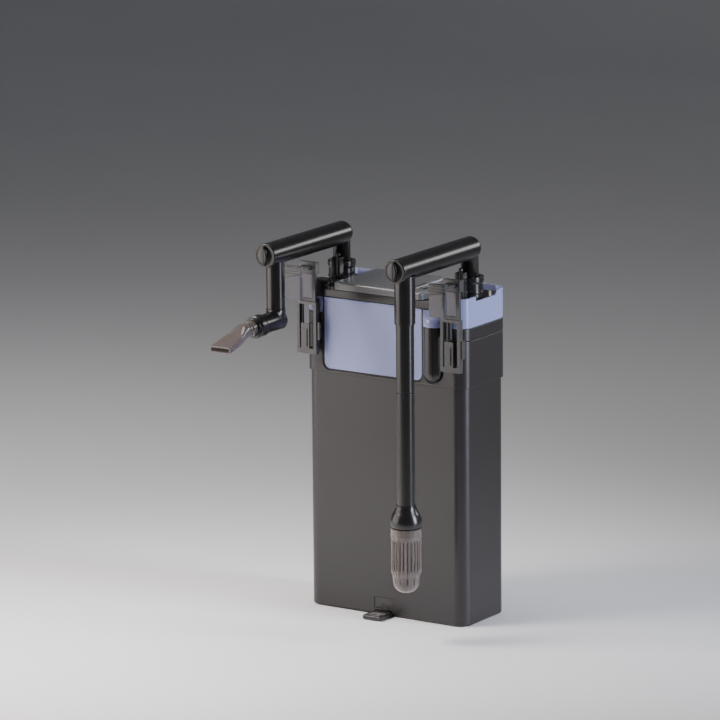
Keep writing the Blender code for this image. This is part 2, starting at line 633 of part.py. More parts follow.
# ---------------------------------------------------------------- outlet
def outlet():
    x = -ARM_X
    tube("outlet_drop_tube", DROP_RADIUS, TUBE_BORE, JOINT_Z + GAP, 326 * MM, (x, DROP_Y, 0), "pipe_plastic")
    elbow = capped_pipe("outlet_elbow", OUTLET_RADIUS, -127.6 * MM, DROP_Y + ELBOW_LEG, OUTLET_END_ROUND, x,
                        OUTLET_AXIS_Z, "pipe_plastic")
    leg = (x, DROP_Y, 0)
    join(elbow, rod("elbow_leg", ELBOW_LEG, OUTLET_AXIS_Z, JOINT_Z, leg))
    low, spot = -DROP_Y - TUBE_BORE / 2, (x, 0, OUTLET_AXIS_Z)
    cut(elbow, rod("elbow_bore", TUBE_BORE, low, 135 * MM, spot, axis="Y"))
    cut(elbow, rod("elbow_leg_bore", TUBE_BORE, OUTLET_AXIS_Z, JOINT_Z + WALL, leg))
    centre = (x, 0, OUTLET_AXIS_Z)
    profile = [(8.4, 141.4), (8.6, 139), (9, 137.6), (10, 137.2), (10, 127.9), (6.4, 127.9), (6.4, 141.4)]
    collar = turned("nozzle_collar", [(r * MM, z * MM) for r, z in profile], centre, "pipe_plastic", 24, "Y")
    nozzle = spray_nozzle(x)
    hang_on("outlet_elbow_axis", (x, DROP_Y, JOINT_Z), elbow)
    hang_on("nozzle_axis", (x, -137 * MM, OUTLET_AXIS_Z), collar, nozzle)


def nozzle_sections():
    """Half width, half height, roundness, distance forward and drop of each section."""
    return [(5.6, 5.6, 2.0, 131, 0), (5.6, 5.6, 2.0, 141.8, 0), (6.9, 6.9, 2.0, 141.9, 0),
            (6.9, 6.9, 2.0, 146.8, 0), (6.1, 6.1, 2.0, 147.6, -0.1), (6.4, 6.2, 2.1, 151, -0.6),
            (7.5, 6.4, 2.5, 158, -1.8), (8.6, 5.4, 3.2, 167, -4.0), (9.5, 4.0, 4.2, 178, -6.9),
            (10.2, 2.9, 5.0, 190, -10)]


def spray_nozzle(x):
    """A flat fan lofted from a round spigot, open at both ends."""
    around = 20
    bm = bmesh.new()
    rings = []
    for half_width, half_height, power, forward, drop in nozzle_sections():
        ring = []
        for i in range(around):
            angle = 2 * math.pi * i / around
            u = math.copysign(abs(math.cos(angle)) ** (2 / power), math.cos(angle)) * half_width
            v = math.copysign(abs(math.sin(angle)) ** (2 / power), math.sin(angle)) * half_height
            ring.append(bm.verts.new((x + u * MM, -forward * MM, OUTLET_AXIS_Z + (v + drop) * MM)))
        rings.append(ring)
    for near, far in zip(rings, rings[1:]):
        for i in range(around):
            j = (i + 1) % around
            bm.faces.new((near[i], near[j], far[j], far[i]))
    nozzle = finish_bmesh("spray_nozzle", bm, "clear_smoke", smooth=40)
    shell = nozzle.modifiers.new("wall", "SOLIDIFY")
    shell.thickness = 1 * MM
    shell.offset = -1
    return nozzle


# ---------------------------------------------------------------- intake
def intake():
    x = ARM_X
    spot = (x, DROP_Y, 0)
    tube("intake_sleeve", SLEEVE_RADIUS, SLEEVE_BORE, 284 * MM, 326 * MM, spot, "pipe_plastic")
    middle = tube("intake_middle_tube", TUBE_RADIUS, TUBE_BORE, 224 * MM, 318 * MM, spot, "pipe_plastic")
    ends = (118.2 * MM, 224 * MM - GAP)
    lower = tube("intake_lower_tube", TUBE_RADIUS, TUBE_BORE, *ends, spot, "pipe_plastic")
    profile = [(8.7, 125.8), (9.2, 122.6), (11.3, 118.6), (13, 114.6), (13.8, 111), (13.9, 109),
               (13.3, 107.6), (11.4, 107.6), (11.4, 100), (9.8, 100), (9.8, 110), (6.6, 117.8),
               (8.1, 117.9), (8.1, 125.8)]
    bell = turned("bell_adapter", [(r * MM, z * MM) for r, z in profile], spot, "pipe_plastic")
    profile = [(13.5, 107.3), (13.7, 98), (13, 96), (12.9, 65), (12, 62.6), (11.4, 55), (9.4, 50.4),
               (5.6, 47.6), (0, 46.8), (0, 48.4), (5.2, 49.2), (8, 51.6), (9.9, 55.6), (10.4, 63),
               (11.3, 66), (11.7, 107.3)]
    cage = turned("strainer", [(r * MM, z * MM) for r, z in profile], spot, "clear_smoke")
    for i in range(6):
        low, high = (-0.02, -1.1 * MM, 67 * MM), (0.02, 1.1 * MM, 94 * MM)
        slot = block("strainer_slot_%d" % i, low, high)
        slot.location = (x, DROP_Y, 0)
        slot.rotation_euler.z = math.radians(30 * i + 15)
        cut(cage, slot)
    hang_on("intake_slide_axis", (x, DROP_Y, 284 * MM), middle, lower, bell)
    hang_on("strainer_axis", (x, DROP_Y, 107 * MM), cage)


# ---------------------------------------------------------------- hooks
def hook_frame(name, x, side):
    """The black ladder frame that stands in front of the housing's corner."""
    half = HOOK_HALF
    front = HOOK_FRONT_Y
    low, high = (x - half, front, HOOK_SPLIT), (x + half, front + 2.9 * MM, HOOK_TOP)
    frame = block(name, low, high, "black_plastic")
    low = (x - half, front, HOOK_BLOCK_BOTTOM)
    high = (x + half + 0.6 * MM, front + 6 * MM, HOOK_TOP)
    join(frame, block(name + "_head", low, high))
    low = (x - 8 * MM, front + 1.3 * MM, HOOK_BOTTOM + 3 * MM)
    high = (x + 8 * MM, front + 2.9 * MM, HOOK_SPLIT + 1 * MM)
    join(frame, block(name + "_lower", low, high))
    root = sorted((side * 66.4 * MM, side * 71.2 * MM))
    low = (root[0], front + 2 * MM, 258 * MM)
    high = (root[1], -HOUSING_DEPTH / 2 - GAP, 279 * MM)
    join(frame, block(name + "_root", low, high))
    low = (x - half + 2.6 * MM, front - 1 * MM, HOOK_SPLIT + 2 * MM)
    high = (x + half - 2.6 * MM, front + 4 * MM, HOOK_BLOCK_BOTTOM)
    cut(frame, block(name + "_window", low, high))
    low = (x - 5.2 * MM, front - 1 * MM, HOOK_BOTTOM + 6 * MM)
    high = (x + 5.2 * MM, front + 4 * MM, HOOK_SPLIT - 1.6 * MM)
    cut(frame, block(name + "_lower_window", low, high))
    low = (x - 5.3 * MM, front - 3 * MM, 305.7 * MM)
    high = (x + 5.3 * MM, front + 9 * MM, 309.1 * MM)
    cut(frame, block(name + "_bar_slot", low, high))
    return frame


def hook_slider(name, x):
    """The sliding lower frame with its sprung tongue and side tab."""
    front = HOOK_FRONT_Y - 1.3 * MM
    half = 10.2 * MM
    slider = block(name, (x - half, front, HOOK_BOTTOM), (x + half, HOOK_FRONT_Y + 3 * MM, HOOK_SPLIT - GAP),
                   "black_plastic")
    low = (x - 8.3 * MM, HOOK_FRONT_Y + 0.9 * MM, HOOK_BOTTOM - 1 * MM)
    high = (x + 8.3 * MM, HOOK_FRONT_Y + 4 * MM, HOOK_SPLIT + 1 * MM)
    cut(slider, block(name + "_track", low, high))
    low = (x - half + 3 * MM, front - 1 * MM, HOOK_BOTTOM + 4.8 * MM)
    high = (x + half - 3 * MM, 0, HOOK_SPLIT - 3 * MM)
    cut(slider, block(name + "_window", low, high))
    low = (x - 6 * MM, front, HOOK_BOTTOM + 4 * MM)
    high = (x + 2.8 * MM, front + 1.4 * MM, 257.4 * MM)
    join(slider, block(name + "_tongue", low, high))
    low = (x - 3.6 * MM, front - 0.9 * MM, HOOK_BOTTOM + 6.5 * MM)
    high = (x + 0.6 * MM, front + 0.5 * MM, 252.6 * MM)
    join(slider, block(name + "_rib", low, high))
    low = (x + half - 0.5 * MM, front + 1.2 * MM, 243.5 * MM)
    high = (x + half + 2.6 * MM, HOOK_FRONT_Y + 2.6 * MM, 259.4 * MM)
    join(slider, block(name + "_tab", low, high))
    return slider


def hook_pad(name, x):
    front = HOOK_FRONT_Y + 0.5 * MM
    half = HOOK_HALF - 2.6 * MM - GAP
    low = (x - half, front, HOOK_SPLIT + 2 * MM + GAP)
    high = (x + half, front + 1.8 * MM, HOOK_BLOCK_BOTTOM - GAP)
    return block(name, low, high, "clear_blue")


def hook_grip(name, x):
    """The ribbed top of the inner jaw, and the bar that runs back through the frame's head."""
    half = 8.3 * MM
    front = JAW_FRONT_Y
    outline = [(x - half, 302.2 * MM), (x + half, 305.8 * MM), (x + half, HOOK_TOP), (x - half, HOOK_TOP)]
    grip = prism(name, outline, front, front + 4.6 * MM, "Y", "black_plastic")
    low = (x - 5 * MM, front + 3 * MM, 306 * MM)
    high = (x + 5 * MM, HOOK_FRONT_Y + 6.4 * MM, 308.8 * MM)
    join(grip, block(name + "_bar", low, high))
    for i in range(3):
        z = (303.4 + 2.4 * i) * MM
        low, high = (x - 9 * MM, front - 1 * MM, z + 2.2 * MM), (x + 9 * MM, front + 0.9 * MM, z + 3.2 * MM)
        cut(grip, block("%s_rib_%d" % (name, i), low, high))
    return grip


def hook_jaw(name, x):
    half = 8.3 * MM
    drop = GAP
    outline = [(x - half, JAW_BOTTOM), (x + half, JAW_BOTTOM), (x + half, 305.8 * MM - drop),
               (x - half, 302.2 * MM - drop)]
    return prism(name, outline, JAW_FRONT_Y + 0.4 * MM, JAW_FRONT_Y + 3.6 * MM, "Y", "clear_blue")


def hooks():
    for hand, side in HANDS.items():
        x = side * HOOK_X
        hook_frame("hook_frame_" + hand, x, side)
        hook_pad("hook_pad_" + hand, x)
        slider = hook_slider("hook_slider_" + hand, x)
        hang_on("hook_slider_axis_" + hand, (x, HOOK_FRONT_Y, HOOK_BOTTOM), slider)
        grip = hook_grip("hook_grip_" + hand, x)
        jaw = hook_jaw("hook_jaw_" + hand, x)
        hang_on("hook_jaw_axis_" + hand, (x, HOOK_FRONT_Y, 306.5 * MM), grip, jaw)


# ---------------------------------------------------------------- assembly
def assemble():
    canister()
    foot()
    seam_gasket()
    housing()
    window()
    deck()
    lid()
    cable_gland()
    media()
    pump()
    ducts()
    arms()
    outlet()
    intake()
    hooks()


clear_scene()
PARTS = collection("hang_on_filter")
CUTTERS = collection("cutters")
assemble()
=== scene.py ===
"""The looks of the hang-on aquarium filter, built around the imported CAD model.

Every piece is placed from the CAD model's own boxes, in metres. -Y is the side of the tank and +Z is up.
"""

import json
import math
import random

import bmesh
import bpy
from mathutils import Matrix, Vector


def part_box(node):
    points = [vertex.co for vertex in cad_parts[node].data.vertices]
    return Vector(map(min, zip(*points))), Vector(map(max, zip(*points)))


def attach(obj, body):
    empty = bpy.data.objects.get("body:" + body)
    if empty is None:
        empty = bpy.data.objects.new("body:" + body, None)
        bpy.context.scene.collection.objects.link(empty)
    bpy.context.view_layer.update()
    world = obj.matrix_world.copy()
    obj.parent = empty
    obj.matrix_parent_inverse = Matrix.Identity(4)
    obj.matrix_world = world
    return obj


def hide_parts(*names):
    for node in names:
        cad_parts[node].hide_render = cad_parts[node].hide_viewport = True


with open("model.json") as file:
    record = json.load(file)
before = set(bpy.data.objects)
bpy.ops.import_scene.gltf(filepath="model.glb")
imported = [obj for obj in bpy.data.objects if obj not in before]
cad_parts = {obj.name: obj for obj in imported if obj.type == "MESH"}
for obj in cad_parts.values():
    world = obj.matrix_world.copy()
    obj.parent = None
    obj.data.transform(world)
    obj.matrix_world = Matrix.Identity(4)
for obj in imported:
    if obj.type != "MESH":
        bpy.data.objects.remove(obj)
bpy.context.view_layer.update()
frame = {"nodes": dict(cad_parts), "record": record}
MM = 0.001
BODY_OF = {n: b for b, nodes in frame["record"]["behaviour"]["bodies"].items() for n in nodes}
SLOT_OF = {s["node"]: s["material_slot"] for s in frame["record"]["subparts"]}
HANDS = ("left", "right")


# ---------------------------------------------------------------- node materials
class Shader:
    """A material under construction: a Principled shader and short ways to add nodes."""

    def __init__(self, name, colour, roughness, **uniform):
        self.material = bpy.data.materials.new(name)
        self.material.use_nodes = True
        self.tree = self.material.node_tree
        self.shader = self.tree.nodes["Principled BSDF"]
        self.colour = colour
        self.set("Base Color", (*colour, 1))
        self.set("Roughness", roughness)
        for key, value in uniform.items():
            self.set(key.replace("_", " "), value)
        self.place = self.node("ShaderNodeTexCoord").outputs["Object"]
        self.height = None

    def set(self, socket, value):
        self.shader.inputs[socket].default_value = value

    def node(self, kind, **settings):
        made = self.tree.nodes.new(kind)
        for key, value in settings.items():
            if hasattr(made, key):
                setattr(made, key, value)
            else:
                made.inputs[key.replace("_", " ")].default_value = value
        return made

    def link(self, source, target):
        self.tree.links.new(source, target)

    def stretched(self, scale):
        mapping = self.node("ShaderNodeMapping")
        mapping.inputs["Scale"].default_value = scale
        self.link(self.place, mapping.inputs["Vector"])
        return mapping.outputs["Vector"]

    def noise(self, scale, detail=4, roughness=0.55, stretch=(1, 1, 1)):
        made = self.node("ShaderNodeTexNoise", Scale=scale, Detail=detail, Roughness=roughness)
        self.link(self.stretched(stretch), made.inputs["Vector"])
        return made.outputs["Fac"]

    def cells(self, scale):
        made = self.node("ShaderNodeTexVoronoi", Scale=scale)
        self.link(self.place, made.inputs["Vector"])
        return made.outputs["Distance"]

    def ramp(self, factor, stops):
        made = self.node("ShaderNodeValToRGB")
        made.color_ramp.interpolation = "EASE"
        elements = made.color_ramp.elements
        while len(elements) < len(stops):
            elements.new(0.5)
        for element, (position, value) in zip(elements, stops):
            element.position = position
            element.color = (*value, 1)
        self.link(factor, made.inputs["Fac"])
        return made.outputs["Color"]

    def vary(self, factor, low=0.85, high=1.15):
        """Base colour that runs between darker and lighter versions of itself."""
        dark = [c * low for c in self.colour]
        light = [min(1, c * high) for c in self.colour]
        self.link(self.ramp(factor, [(0.15, dark), (0.85, light)]), self.shader.inputs["Base Color"])

    def gloss(self, factor, low, high):
        """Roughness that wanders from low to high."""
        made = self.node("ShaderNodeMapRange")
        made.interpolation_type = "SMOOTHSTEP"
        made.inputs["From Min"].default_value = 0.15
        made.inputs["From Max"].default_value = 0.85
        made.inputs["To Min"].default_value = low
        made.inputs["To Max"].default_value = high
        self.link(factor, made.inputs["Value"])
        self.link(made.outputs["Result"], self.shader.inputs["Roughness"])

    def bump(self, factor, strength, distance):
        """Relief on top of the relief that is already there."""
        made = self.node("ShaderNodeBump")
        made.inputs["Strength"].default_value = strength
        made.inputs["Distance"].default_value = distance
        self.link(factor, made.inputs["Height"])
        if self.height:
            self.link(self.height, made.inputs["Normal"])
        self.height = made.outputs["Normal"]
        self.link(self.height, self.shader.inputs["Normal"])


def moulded(name, colour, roughness, grain=0.1, streak=(1, 1, 1), cloud=0.12, **uniform):
    """Injection-moulded plastic: faint clouding, slightly uneven gloss and a soft grain."""
    made = Shader(name, colour, roughness, **uniform)
    made.vary(made.noise(9, 3, 0.5, streak), 1 - cloud, 1 + cloud)
    made.gloss(made.noise(22, 3, 0.5, streak), roughness - 0.02, roughness + 0.03)
    made.bump(made.noise(420, 2, 0.5), grain, 0.00002)
    return made.material


def clear(name, colour, roughness, transmission, cloud=0.05, **uniform):
    """Tinted see-through plastic, slightly milky, with faint flow marks."""
    made = Shader(name, colour, roughness, IOR=1.49, Transmission_Weight=transmission, **uniform)
    made.vary(made.noise(11, 3, 0.5, (1, 1, 0.4)), 1 - cloud, 1 + cloud)
    made.gloss(made.noise(25, 3, 0.5), roughness - 0.02, roughness + 0.03)
    made.bump(made.noise(30, 2, 0.5, (1, 1, 0.3)), 0.1, 0.0001)
    return made.material


def foam(name, colour, pores):
    """Open foam or felted wool: pores at two sizes, sunk by bump; painted shade darkens the pores and the
    walls between them are painted lighter.
    """
    made = Shader(name, colour, 0.95, Sheen_Weight=0.25)
    # painted shade in the pores: the colour is darkest at each cell's centre and lighter towards its walls
    made.vary(made.cells(pores), 0.35, 1.4)
    made.bump(made.cells(pores), 0.9, 0.0016)
    made.bump(made.noise(pores * 2.3, 4), 0.5, 0.0006)
    return made.material


def ceramic(name, colour):
    """Rough unglazed ceramic, finely pitted."""
    made = Shader(name, colour, 0.8)
    made.vary(made.noise(300, 6, 0.7), 0.75, 1.12)
    made.bump(made.cells(900), 0.5, 0.0003)
    return made.material


LOOKS = {
    "charcoal": moulded("charcoal_shell", (0.018, 0.0155, 0.016), 0.31),
    "black": moulded("black_frame", (0.050, 0.049, 0.050), 0.235),
    "gloss_black": moulded("black_pipe", (0.009, 0.008, 0.008), 0.236, 0.05, (1, 1, 0.25)),
    "lid_grey": moulded("grey_lid", (0.12, 0.12, 0.125), 0.2, 0.05),
    "clear_blue": clear("clear_blue", (0.38, 0.425, 0.74), 0.21, 0.35),
    "clear_smoke": clear("clear_smoke", (0.30, 0.255, 0.24), 0.12, 0.7, 0.1),
    # partly the pads' and jaws' own smoky grey, partly painted shade: darkened to stand in for the intake
    # arm's shadow on the right jaw
    "clear_grey_shaded": clear("clear_grey_shaded", (0.13, 0.13, 0.165), 0.14, 0.75),
    # painted shade: a darker copy of clear_blue, dimmed so that the back-lit clear ring renders less
    # bright
    "ring_blue_shaded": clear("ring_blue_shaded", (0.33, 0.36, 0.62), 0.21, 0.35),
    "rubber": moulded("soft_rubber", (0.012, 0.012, 0.013), 0.62, 0.3),
    "sponge": foam("blue_sponge", (0.05, 0.11, 0.26), 620),
    "ceramic": ceramic("ceramic", (0.66, 0.6, 0.52)),
    "magnet": moulded("bonded_magnet", (0.05, 0.05, 0.052), 0.5, 0.3, Metallic=0.15),
    "filter_wool": foam("filter_wool", (0.72, 0.74, 0.75), 1500),
}


# ---------------------------------------------------------------- mesh helpers
def link(obj):
    bpy.context.scene.collection.objects.link(obj)
    return obj


def scaled(points):
    """Points given in millimetres, in metres."""
    return [(u * MM, v * MM) for u, v in points]


def from_bmesh(name, bm, sharp=35):
    bmesh.ops.recalc_face_normals(bm, faces=bm.faces)
    mesh = bpy.data.meshes.new(name)
    bm.to_mesh(mesh)
    bm.free()
    mesh.shade_smooth()
    mesh.set_sharp_from_angle(angle=math.radians(sharp))
    return link(bpy.data.objects.new(name, mesh))


def arc(centre, radius, start, end, steps):
    """Points on an arc from start to end, in degrees."""
    found = []
    for i in range(steps + 1):
        angle = math.radians(start + (end - start) * i / steps)
        found.append((centre[0] + radius * math.cos(angle), centre[1] + radius * math.sin(angle)))
    return found


def rounded(low, high, radius, steps=10):
    """A rectangle's outline with round corners; radius is one number, or one per corner."""
    radii = radius if isinstance(radius, (list, tuple)) else [radius] * 4
    corners = [(low[0], low[1], 180), (high[0], low[1], 270),
               (high[0], high[1], 0), (low[0], high[1], 90)]
    outline = []
    for (u, v, start), r in zip(corners, radii):
        if r <= 0:
            outline.append((u, v))
            continue
        centre = (u + (r if u == low[0] else -r), v + (r if v == low[1] else -r))
        outline += arc(centre, r, start, start + 90, steps)
    return outline


PLACE = {
    "X": lambda u, v, w: (w, u, v),
    "Y": lambda u, v, w: (u, w, v),
    "Z": lambda u, v, w: (u, v, w),
}


def inset_outline(outline, amount):
    """The outline moved inwards along its own corners' normals."""
    area = sum(a[0] * b[1] - b[0] * a[1] for a, b in zip(outline, outline[1:] + outline[:1]))
    way = 1 if area > 0 else -1
    found = []
    count = len(outline)
    for i, here in enumerate(outline):
        before, after = outline[i - 1], outline[(i + 1) % count]
        one = Vector((here[0] - before[0], here[1] - before[1])).normalized()
        two = Vector((after[0] - here[0], after[1] - here[1])).normalized()
        normal = Vector((-one.y - two.y, one.x + two.x)) * way
        length = max(normal.length, 0.4)
        normal.normalize()
        found.append((here[0] + normal.x * amount * 2 / length,
                      here[1] + normal.y * amount * 2 / length))
    return found


def plate(name, outline, start, end, axis="Z", edge=0.5 * MM, steps=3, ends=(1, 1)):
    """An outline drawn along an axis, with round edges where ends says so."""
    levels = []
    turns = [math.radians(90) * i / steps for i in range(steps + 1)]
    if ends[0]:
        levels += [(start + edge * (1 - math.cos(a)), edge * (1 - math.sin(a))) for a in turns]
    else:
        levels.append((start, 0))
    if ends[1]:
        levels += [(end - edge * (1 - math.sin(a)), edge * (1 - math.cos(a))) for a in turns]
    else:
        levels.append((end, 0))
    bm = bmesh.new()
    rings = []
    for height, inset in levels:
        points = inset_outline(outline, inset) if inset else outline
        rings.append([bm.verts.new(PLACE[axis](u, v, height)) for u, v in points])
    for near, far in zip(rings, rings[1:]):
        for i in range(len(near)):
            j = (i + 1) % len(near)
            bm.faces.new((near[i], near[j], far[j], far[i]))
    bm.faces.new(rings[0])
    bm.faces.new(rings[-1])
    return from_bmesh(name, bm)


def lathe(name, profile, centre, axis="Z", around=72):
    """A closed profile of (radius, height) points turned about an axis."""
    bm = bmesh.new()
    rings = []
    for radius, height in profile:
        ring = []
        for i in range(around if radius > 1e-7 else 1):
            angle = 2 * math.pi * i / around
            u, v = radius * math.cos(angle), radius * math.sin(angle)
            spot = {"Z": (u, v, height), "Y": (u, -height, v)}[axis]
            ring.append(bm.verts.new(Vector(spot) + Vector(centre)))
        rings.append(ring)
    for near, far in zip(rings, rings[1:] + rings[:1]):
        for i in range(around):
            j = (i + 1) % around
            if len(near) == 1 and len(far) == 1:
                continue
            if len(near) == 1:
                bm.faces.new((near[0], far[j], far[i]))
            elif len(far) == 1:
                bm.faces.new((near[i], near[j], far[0]))
            else:
                bm.faces.new((near[i], near[j], far[j], far[i]))
    return from_bmesh(name, bm)


def softened(profile, radius, steps=3):
    """A profile with each hard corner rounded to about that radius."""
    found = []
    count = len(profile)
    for i, here in enumerate(profile):
        here = Vector(here)
        before, after = Vector(profile[i - 1]), Vector(profile[(i + 1) % count])
        one, two = before - here, after - here
        if here.x < 1e-7 or one.length < 1e-7 or two.length < 1e-7:
            found.append(tuple(here))
            continue
        if math.degrees((-one).angle(two)) < 20:
            found.append(tuple(here))
            continue
        reach = min(radius, one.length * 0.42, two.length * 0.42)
        start, end = here + one.normalized() * reach, here + two.normalized() * reach
        for k in range(steps + 1):
            t = k / steps
            found.append(tuple(start * (1 - t) ** 2 + here * 2 * t * (1 - t) + end * t * t))
    return found


def evaluate(obj):
    """Bakes an object's modifiers into its mesh."""
    bpy.context.view_layer.update()
    depsgraph = bpy.context.evaluated_depsgraph_get()
    mesh = bpy.data.meshes.new_from_object(obj.evaluated_get(depsgraph))
    obj.modifiers.clear()
    obj.data = mesh
    return obj


def merge(obj, *others, operation="UNION"):
    """Joins the others to the object, or cuts them out of it, and removes them."""
    for other in others:
        step = obj.modifiers.new("merge", "BOOLEAN")
        step.operation = operation
        step.object = other
        step.solver = "EXACT"
    evaluate(obj)
    for other in others:
        bpy.data.objects.remove(other, do_unlink=True)
    return obj


def cut(obj, *others):
    return merge(obj, *others, operation="DIFFERENCE")


def round_edges(obj, width, angle=40, segments=3):
    step = obj.modifiers.new("round", "BEVEL")
    step.width = width
    step.segments = segments
    step.limit_method = "ANGLE"
    step.angle_limit = math.radians(angle)
    step.use_clamp_overlap = True
    step.harden_normals = False
    evaluate(obj)
    obj.data.shade_smooth()
    obj.data.set_sharp_from_angle(angle=math.radians(35))
    return obj


def stand_for(obj, *nodes, look=None):
    """The piece replaces those CAD nodes, on their body, with their finish."""
    name = look or SLOT_OF[nodes[0]]
    step = obj.modifiers.new("flat_faces_flat", "WEIGHTED_NORMAL")
    step.keep_sharp = True
    evaluate(obj)
    obj.data.materials.clear()
    obj.data.materials.append(LOOKS[name])
    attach(obj, BODY_OF[nodes[0]])
    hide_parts(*nodes)
    return obj


def extent(node):
    """A CAD node's box as x0, y0, z0, x1, y1, z1."""
    low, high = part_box(node)
    return (*low, *high)


def middle(node):
    low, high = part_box(node)
    return (low + high) / 2


# ---------------------------------------------------------------- sizes taken from the frame
CANISTER = extent("canister")
HOUSING = extent("upper_housing")
RING = extent("clear_ring")
WINDOW = extent("front_window")
DECK = extent("top_deck")
LID = extent("lid")
COLUMN = extent("column_cover")
CORNER = 11.5 * MM
WALL = 2.4 * MM
GAP = 0.3 * MM
OVER = 1 * MM  # how far a cutter runs past the face that it opens
IN_FRONT = -0.06  # a place in front of the housing, where cutters through its front wall start
HOUSING_FRONT = HOUSING[1]
RING_FRONT_TOP = 281 * MM
COLUMN_X = 51 * MM
COLUMN_RADIUS = 9.6 * MM
COLUMN_Y = RING[1] + COLUMN_RADIUS
WINDOW_CORNER = 6 * MM
PIPE_BORE = 6.6 * MM
ARM_X = middle("intake_knob").x
ARM_Z = middle("intake_knob").z
DROP_Y = middle("intake_sleeve").y
OUTLET_Z = middle("nozzle_collar").z
SIDES = {"outlet": -1, "intake": 1}


def slab(name, low, high, radius=0.0, axis="Z", edge=0.5 * MM, steps=3, ends=(1, 1), smooth=8):
    """A box with round corners seen along the axis and round edges at its two ends."""
    pick = {"X": (1, 2, 0), "Y": (0, 2, 1), "Z": (0, 1, 2)}[axis]
    outline = rounded([low[k] for k in pick[:2]], [high[k] for k in pick[:2]], radius, smooth)
    if radius and not isinstance(radius, list):
        edge = min(edge, 0.9 * radius)
    return plate(name, outline, low[pick[2]], high[pick[2]], axis, edge, steps, ends)


# ---------------------------------------------------------------- canister and foot
def make_canister():
    x0, y0, z0, x1, y1, z1 = CANISTER
    shell = slab("canister_shell", (x0, y0, z0), (x1, y1, z1), CORNER, edge=2.2 * MM, steps=6,
                 ends=(1, 0), smooth=18)
    inner = slab("inside", (x0 + WALL, y0 + WALL, 3 * MM), (x1 - WALL, y1 - WALL, z1 * 1.1),
                 CORNER - WALL, ends=(0, 0), smooth=14)
    cut(shell, inner)
    pad = extent("foot_pad")
    guide = extent("foot_guide")
    roof = slab("roof", (pad[0] - 2.5 * MM, y0 + WALL / 2, 1.5 * MM),
                (pad[3] + 2.5 * MM, -6.5 * MM, 7.4 * MM))
    merge(shell, roof)
    channel = slab("channel", (pad[0] - GAP, 2 * y0, -3 * MM), (pad[3] + GAP, -9 * MM, 4.6 * MM),
                   0.8 * MM, "Y", edge=0.3 * MM)
    recess = slab("recess", (guide[0] - GAP, y0 - OVER, guide[2] - GAP),
                  (guide[3] + GAP, guide[4] + GAP, guide[5] + GAP), 0.7 * MM, "Y", edge=0.1 * MM)
    cut(shell, channel, recess)
    stand_for(shell, "canister")


def make_foot():
    x0, y0, z0, x1, y1, z1 = extent("foot_guide")
    guide = slab("foot_guide_plate", (x0, y0, z0), (x1, y1, z1), 0.7 * MM, "Y", 0.2 * MM)
    mid, half = (x0 + x1) / 2, 2.6 * MM
    arrow = [(mid - half, z0 + 3 * MM), (mid + half, z0 + 3 * MM), (mid, z0 + 6.2 * MM)]
    cut(guide, plate("arrow", arrow, y0 - OVER, y0 + 0.45 * MM, "Y", ends=(0, 0)))
    stand_for(guide, "foot_guide")
    x0, y0, z0, x1, y1, z1 = extent("foot_pad")
    pad = slab("foot_pad_slide", (x0, y0, z0), (x1, y1, z1), 1.5 * MM, "Z", 0.8 * MM, 4)
    for i in range(5):
        y = y0 + (3 + 2.2 * i) * MM
        cut(pad, slab("groove", (x0 + 3 * MM, y, z1 - 0.35 * MM), (x1 - 3 * MM, y + 0.8 * MM, z1 + OVER)))
    stand_for(pad, "foot_pad")


# ---------------------------------------------------------------- housing layers
def housing_outline(steps=18):
    """The housing seen from above: a rounded rectangle with the column on its front."""
    half, front, back = HOUSING[3], HOUSING_FRONT, HOUSING[4]
    outline = rounded((-half, front), (half, back), CORNER, steps)
    rise = math.degrees(math.asin((COLUMN_Y - front) / COLUMN_RADIUS))
    column = arc((COLUMN_X, COLUMN_Y), COLUMN_RADIUS, 180 + rise, 360 - rise, 2 * steps)
    return outline[:steps + 1] + column + outline[steps + 1:]


def window_outline(margin, top):
    """The window's outline with a margin all round, round at the bottom corners."""
    x0, x1, z0 = WINDOW[0] - margin, WINDOW[3] + margin, WINDOW[2] - margin
    return rounded((x0, z0), (x1, top), [WINDOW_CORNER + margin] * 2 + [0, 0], 12)


def window_cutter():
    """A block through the front wall, open at the top, that leaves room for the window's seal."""
    outline = window_outline(1.9 * MM, RING[5] + 20 * MM)
    return plate("window_hole", outline, IN_FRONT, -0.02, "Y", ends=(0, 0))


def housing_core(bottom, top):
    """The housing's inside, run past both ends of a layer."""
    return slab("core", (-HOUSING[3] + WALL, HOUSING_FRONT + WALL, bottom - 5 * MM),
                (HOUSING[3] - WALL, HOUSING[4] - WALL, top + 5 * MM), CORNER - WALL,
                ends=(0, 0), smooth=14)


def column_pocket():
    """The groove in the front wall that the column's cover sits in."""
    reach, ball = COLUMN_RADIUS + 1 * MM, COLUMN[2] + COLUMN_RADIUS - 0.2 * MM
    outline = arc((COLUMN_X, ball), reach, 180, 360, 32)
    outline += [(COLUMN_X + reach, 0.3), (COLUMN_X - reach, 0.3)]
    return plate("pocket", outline, IN_FRONT, COLUMN[4] + GAP, "Y", ends=(0, 0))


def make_housing():
    for node, name in (("upper_housing", "housing_lower"), ("housing_band", "housing_clamp_band")):
        x0, _, z0, x1, y1, z1 = extent(node)
        layer = slab(name, (x0, HOUSING_FRONT, z0), (x1, y1, z1), CORNER, edge=0.6 * MM, smooth=18)
        cut(layer, housing_core(z0, z1), window_cutter(), column_pocket())
        stand_for(layer, node)
    z0, z1 = RING[2], RING[5]
    layer = plate("clear_top_ring", housing_outline(), z0, z1, "Z", 0.6 * MM)
    cut(layer, housing_core(z0, z1), window_cutter())
    trim_ring(layer)
    stand_for(layer, "clear_ring", look="ring_blue_shaded")
    make_column()


